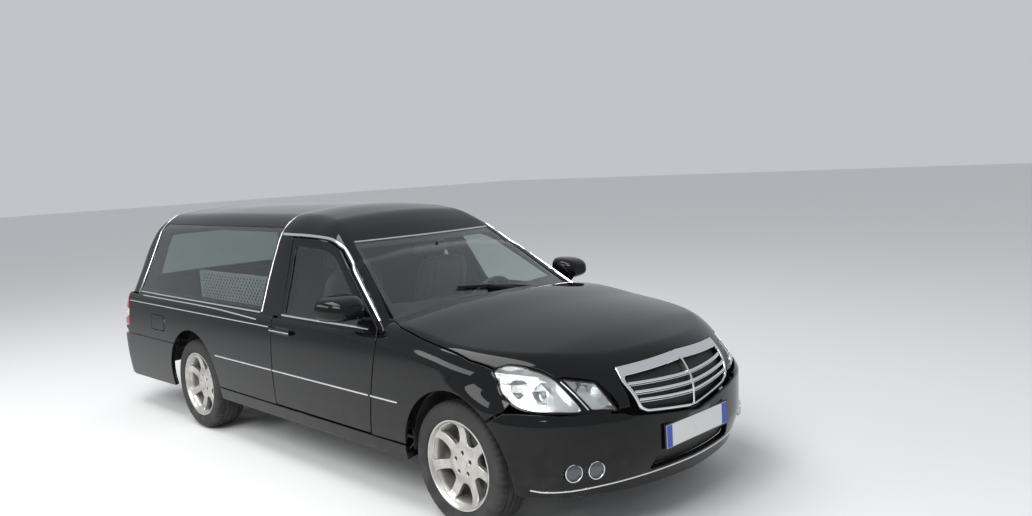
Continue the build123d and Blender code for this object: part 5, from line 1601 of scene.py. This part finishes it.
def cloth_finish(name, color, scale=420.0):
    """Woven seat cloth: two crossed wave patterns make the weave, with slow variation of the grey."""
    mat = finish_of(name, color, 0.85, dust=0.3, height=1.5, scale=7, tint=(0.2, 0.19, 0.18))
    n, link = mat.node_tree.nodes, mat.node_tree.links.new
    shader = filled(n["Principled BSDF"], Sheen_Weight=0.25)
    place = n.new("ShaderNodeTexCoord")
    height = n.new("ShaderNodeMath")
    height.operation = "ADD"
    for k, direction in enumerate(("Y", "Z")):
        wave = filled(n.new("ShaderNodeTexWave"), Scale=scale)
        wave.bands_direction = direction
        link(place.outputs["Object"], wave.inputs["Vector"])
        link(wave.outputs["Fac"], height.inputs[k])
    bump = filled(n.new("ShaderNodeBump"), Strength=0.35, Distance=0.0006)
    link(height.outputs[0], bump.inputs["Height"])
    link(bump.outputs["Normal"], shader.inputs["Normal"])
    return mat


seat_cloth = cloth_finish("seat_cloth", (0.14, 0.14, 0.145))
for pad, centre, half, lean, lines_y, lines_u in PADS:
    cloud, groups = soft_block(np.array(half) - 0.004)
    master = make_mesh("seat_" + pad + "_left", cloud, groups, None, [seat_cloth])
    puffed(master)
    shape = channelled(coordinates(master.data), half, lines_y, lines_u)
    lifted = tilted(shape, centre, -lean)
    for k, (side, far_side) in enumerate(SIDES):
        thing = master if k == 0 else bpy.data.objects.new("seat_" + pad + "_right", master.data.copy())
        if k:
            bpy.context.scene.collection.objects.link(thing)
        moved = lifted + [0, -SEAT_Y if far_side else SEAT_Y, 0]
        thing.data.vertices.foreach_set("co", moved.astype(np.float32).ravel())
        thing.data.update()
        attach(thing, "root")
seat_frames = []
for y in (-SEAT_Y, SEAT_Y):
    seat_frames.append(block((0.215, y - 0.2, 0.332), (0.585, y + 0.2, 0.36), 0.02))
    seat_frames.append(block((0.23, y - 0.19, 0.36), (0.57, y + 0.19, 0.505), 0.04))
    seat_frames += [lathe(((-0.06, 0.006), (0.06, 0.006)), (0.05, y + d, 1.16), (-0.276, 0, 0.961), 12)
                    for d in (-0.06, 0.06)]
assembled("seat_frames", seat_frames, "root", [cabin_trim], ["seats"])

# Camera, floor and light: a plain pale studio floor with soft lamps, seen from the photograph's viewpoint.
CAMERA = {"place": (4.9083, -3.5422, 1.7974), "yaw": 2.366, "down": 0.1087, "roll": -0.0536, "lens": 30.43}


def aim(camera):
    """Camera matrix from its place, its yaw from the x axis, its tilt below the level and its roll."""
    yaw, down, roll = CAMERA["yaw"], CAMERA["down"], CAMERA["roll"]
    ahead = np.array([cos(yaw) * cos(down), sin(yaw) * cos(down), -sin(down)])
    right = np.cross(ahead, [0, 0, 1])
    right /= np.linalg.norm(right)
    up = np.cross(right, ahead)
    r = cos(roll) * right + sin(roll) * up
    u = -sin(roll) * right + cos(roll) * up
    m = Matrix.Identity(4)
    for i in range(3):
        m[i][0], m[i][1], m[i][2], m[i][3] = r[i], u[i], -ahead[i], CAMERA["place"][i]
    camera.matrix_world = m


data = bpy.data.cameras.new("camera")
data.lens = CAMERA["lens"]
data.sensor_width = 36
data.clip_end = 200
camera = bpy.data.objects.new("camera", data)
bpy.context.scene.collection.objects.link(camera)
aim(camera)
bpy.context.scene.camera = camera
bpy.context.scene.view_settings.view_transform = "Standard"


def floor_mat():
    """Matt pale floor."""
    mat = bpy.data.materials.new("studio_floor")
    mat.use_nodes = True
    filled(mat.node_tree.nodes["Principled BSDF"], Base_Color=(0.78, 0.78, 0.77, 1), Roughness=0.7)
    return mat


HALF = 60
floor = make_mesh("studio_ground", [(-HALF, -HALF, 0), (HALF, -HALF, 0), (HALF, HALF, 0), (-HALF, HALF, 0)],
                  [np.array([[0, 1, 2, 3]])], None, [floor_mat()])


def area(name, place, target, width, height, power):
    """Soft rectangular lamp that looks at a target."""
    lamp = bpy.data.lights.new(name, "AREA")
    lamp.shape = "RECTANGLE"
    lamp.size, lamp.size_y, lamp.energy = width, height, power
    thing = bpy.data.objects.new(name, lamp)
    bpy.context.scene.collection.objects.link(thing)
    way = np.array(target, float) - np.array(place, float)
    thing.location = place
    thing.rotation_euler = Vector(way).to_track_quat("-Z", "Y").to_euler()
    return thing


lights = [
    area("key", (3.5, -6.5, 6.5), (0, 0, 0.6), 5, 3, 420),
    area("fill", (-3.0, -7.5, 4.6), (0, 0, 0.8), 5, 2.5, 190),
    area("top", (-0.5, -2.2, 7.5), (0, 0, 0.8), 6, 3, 300),
]
world = bpy.data.worlds.new("studio")
bpy.context.scene.world = world
world.use_nodes = True
filled(world.node_tree.nodes["Background"], Color=(0.82, 0.85, 0.9, 1), Strength=0.65)
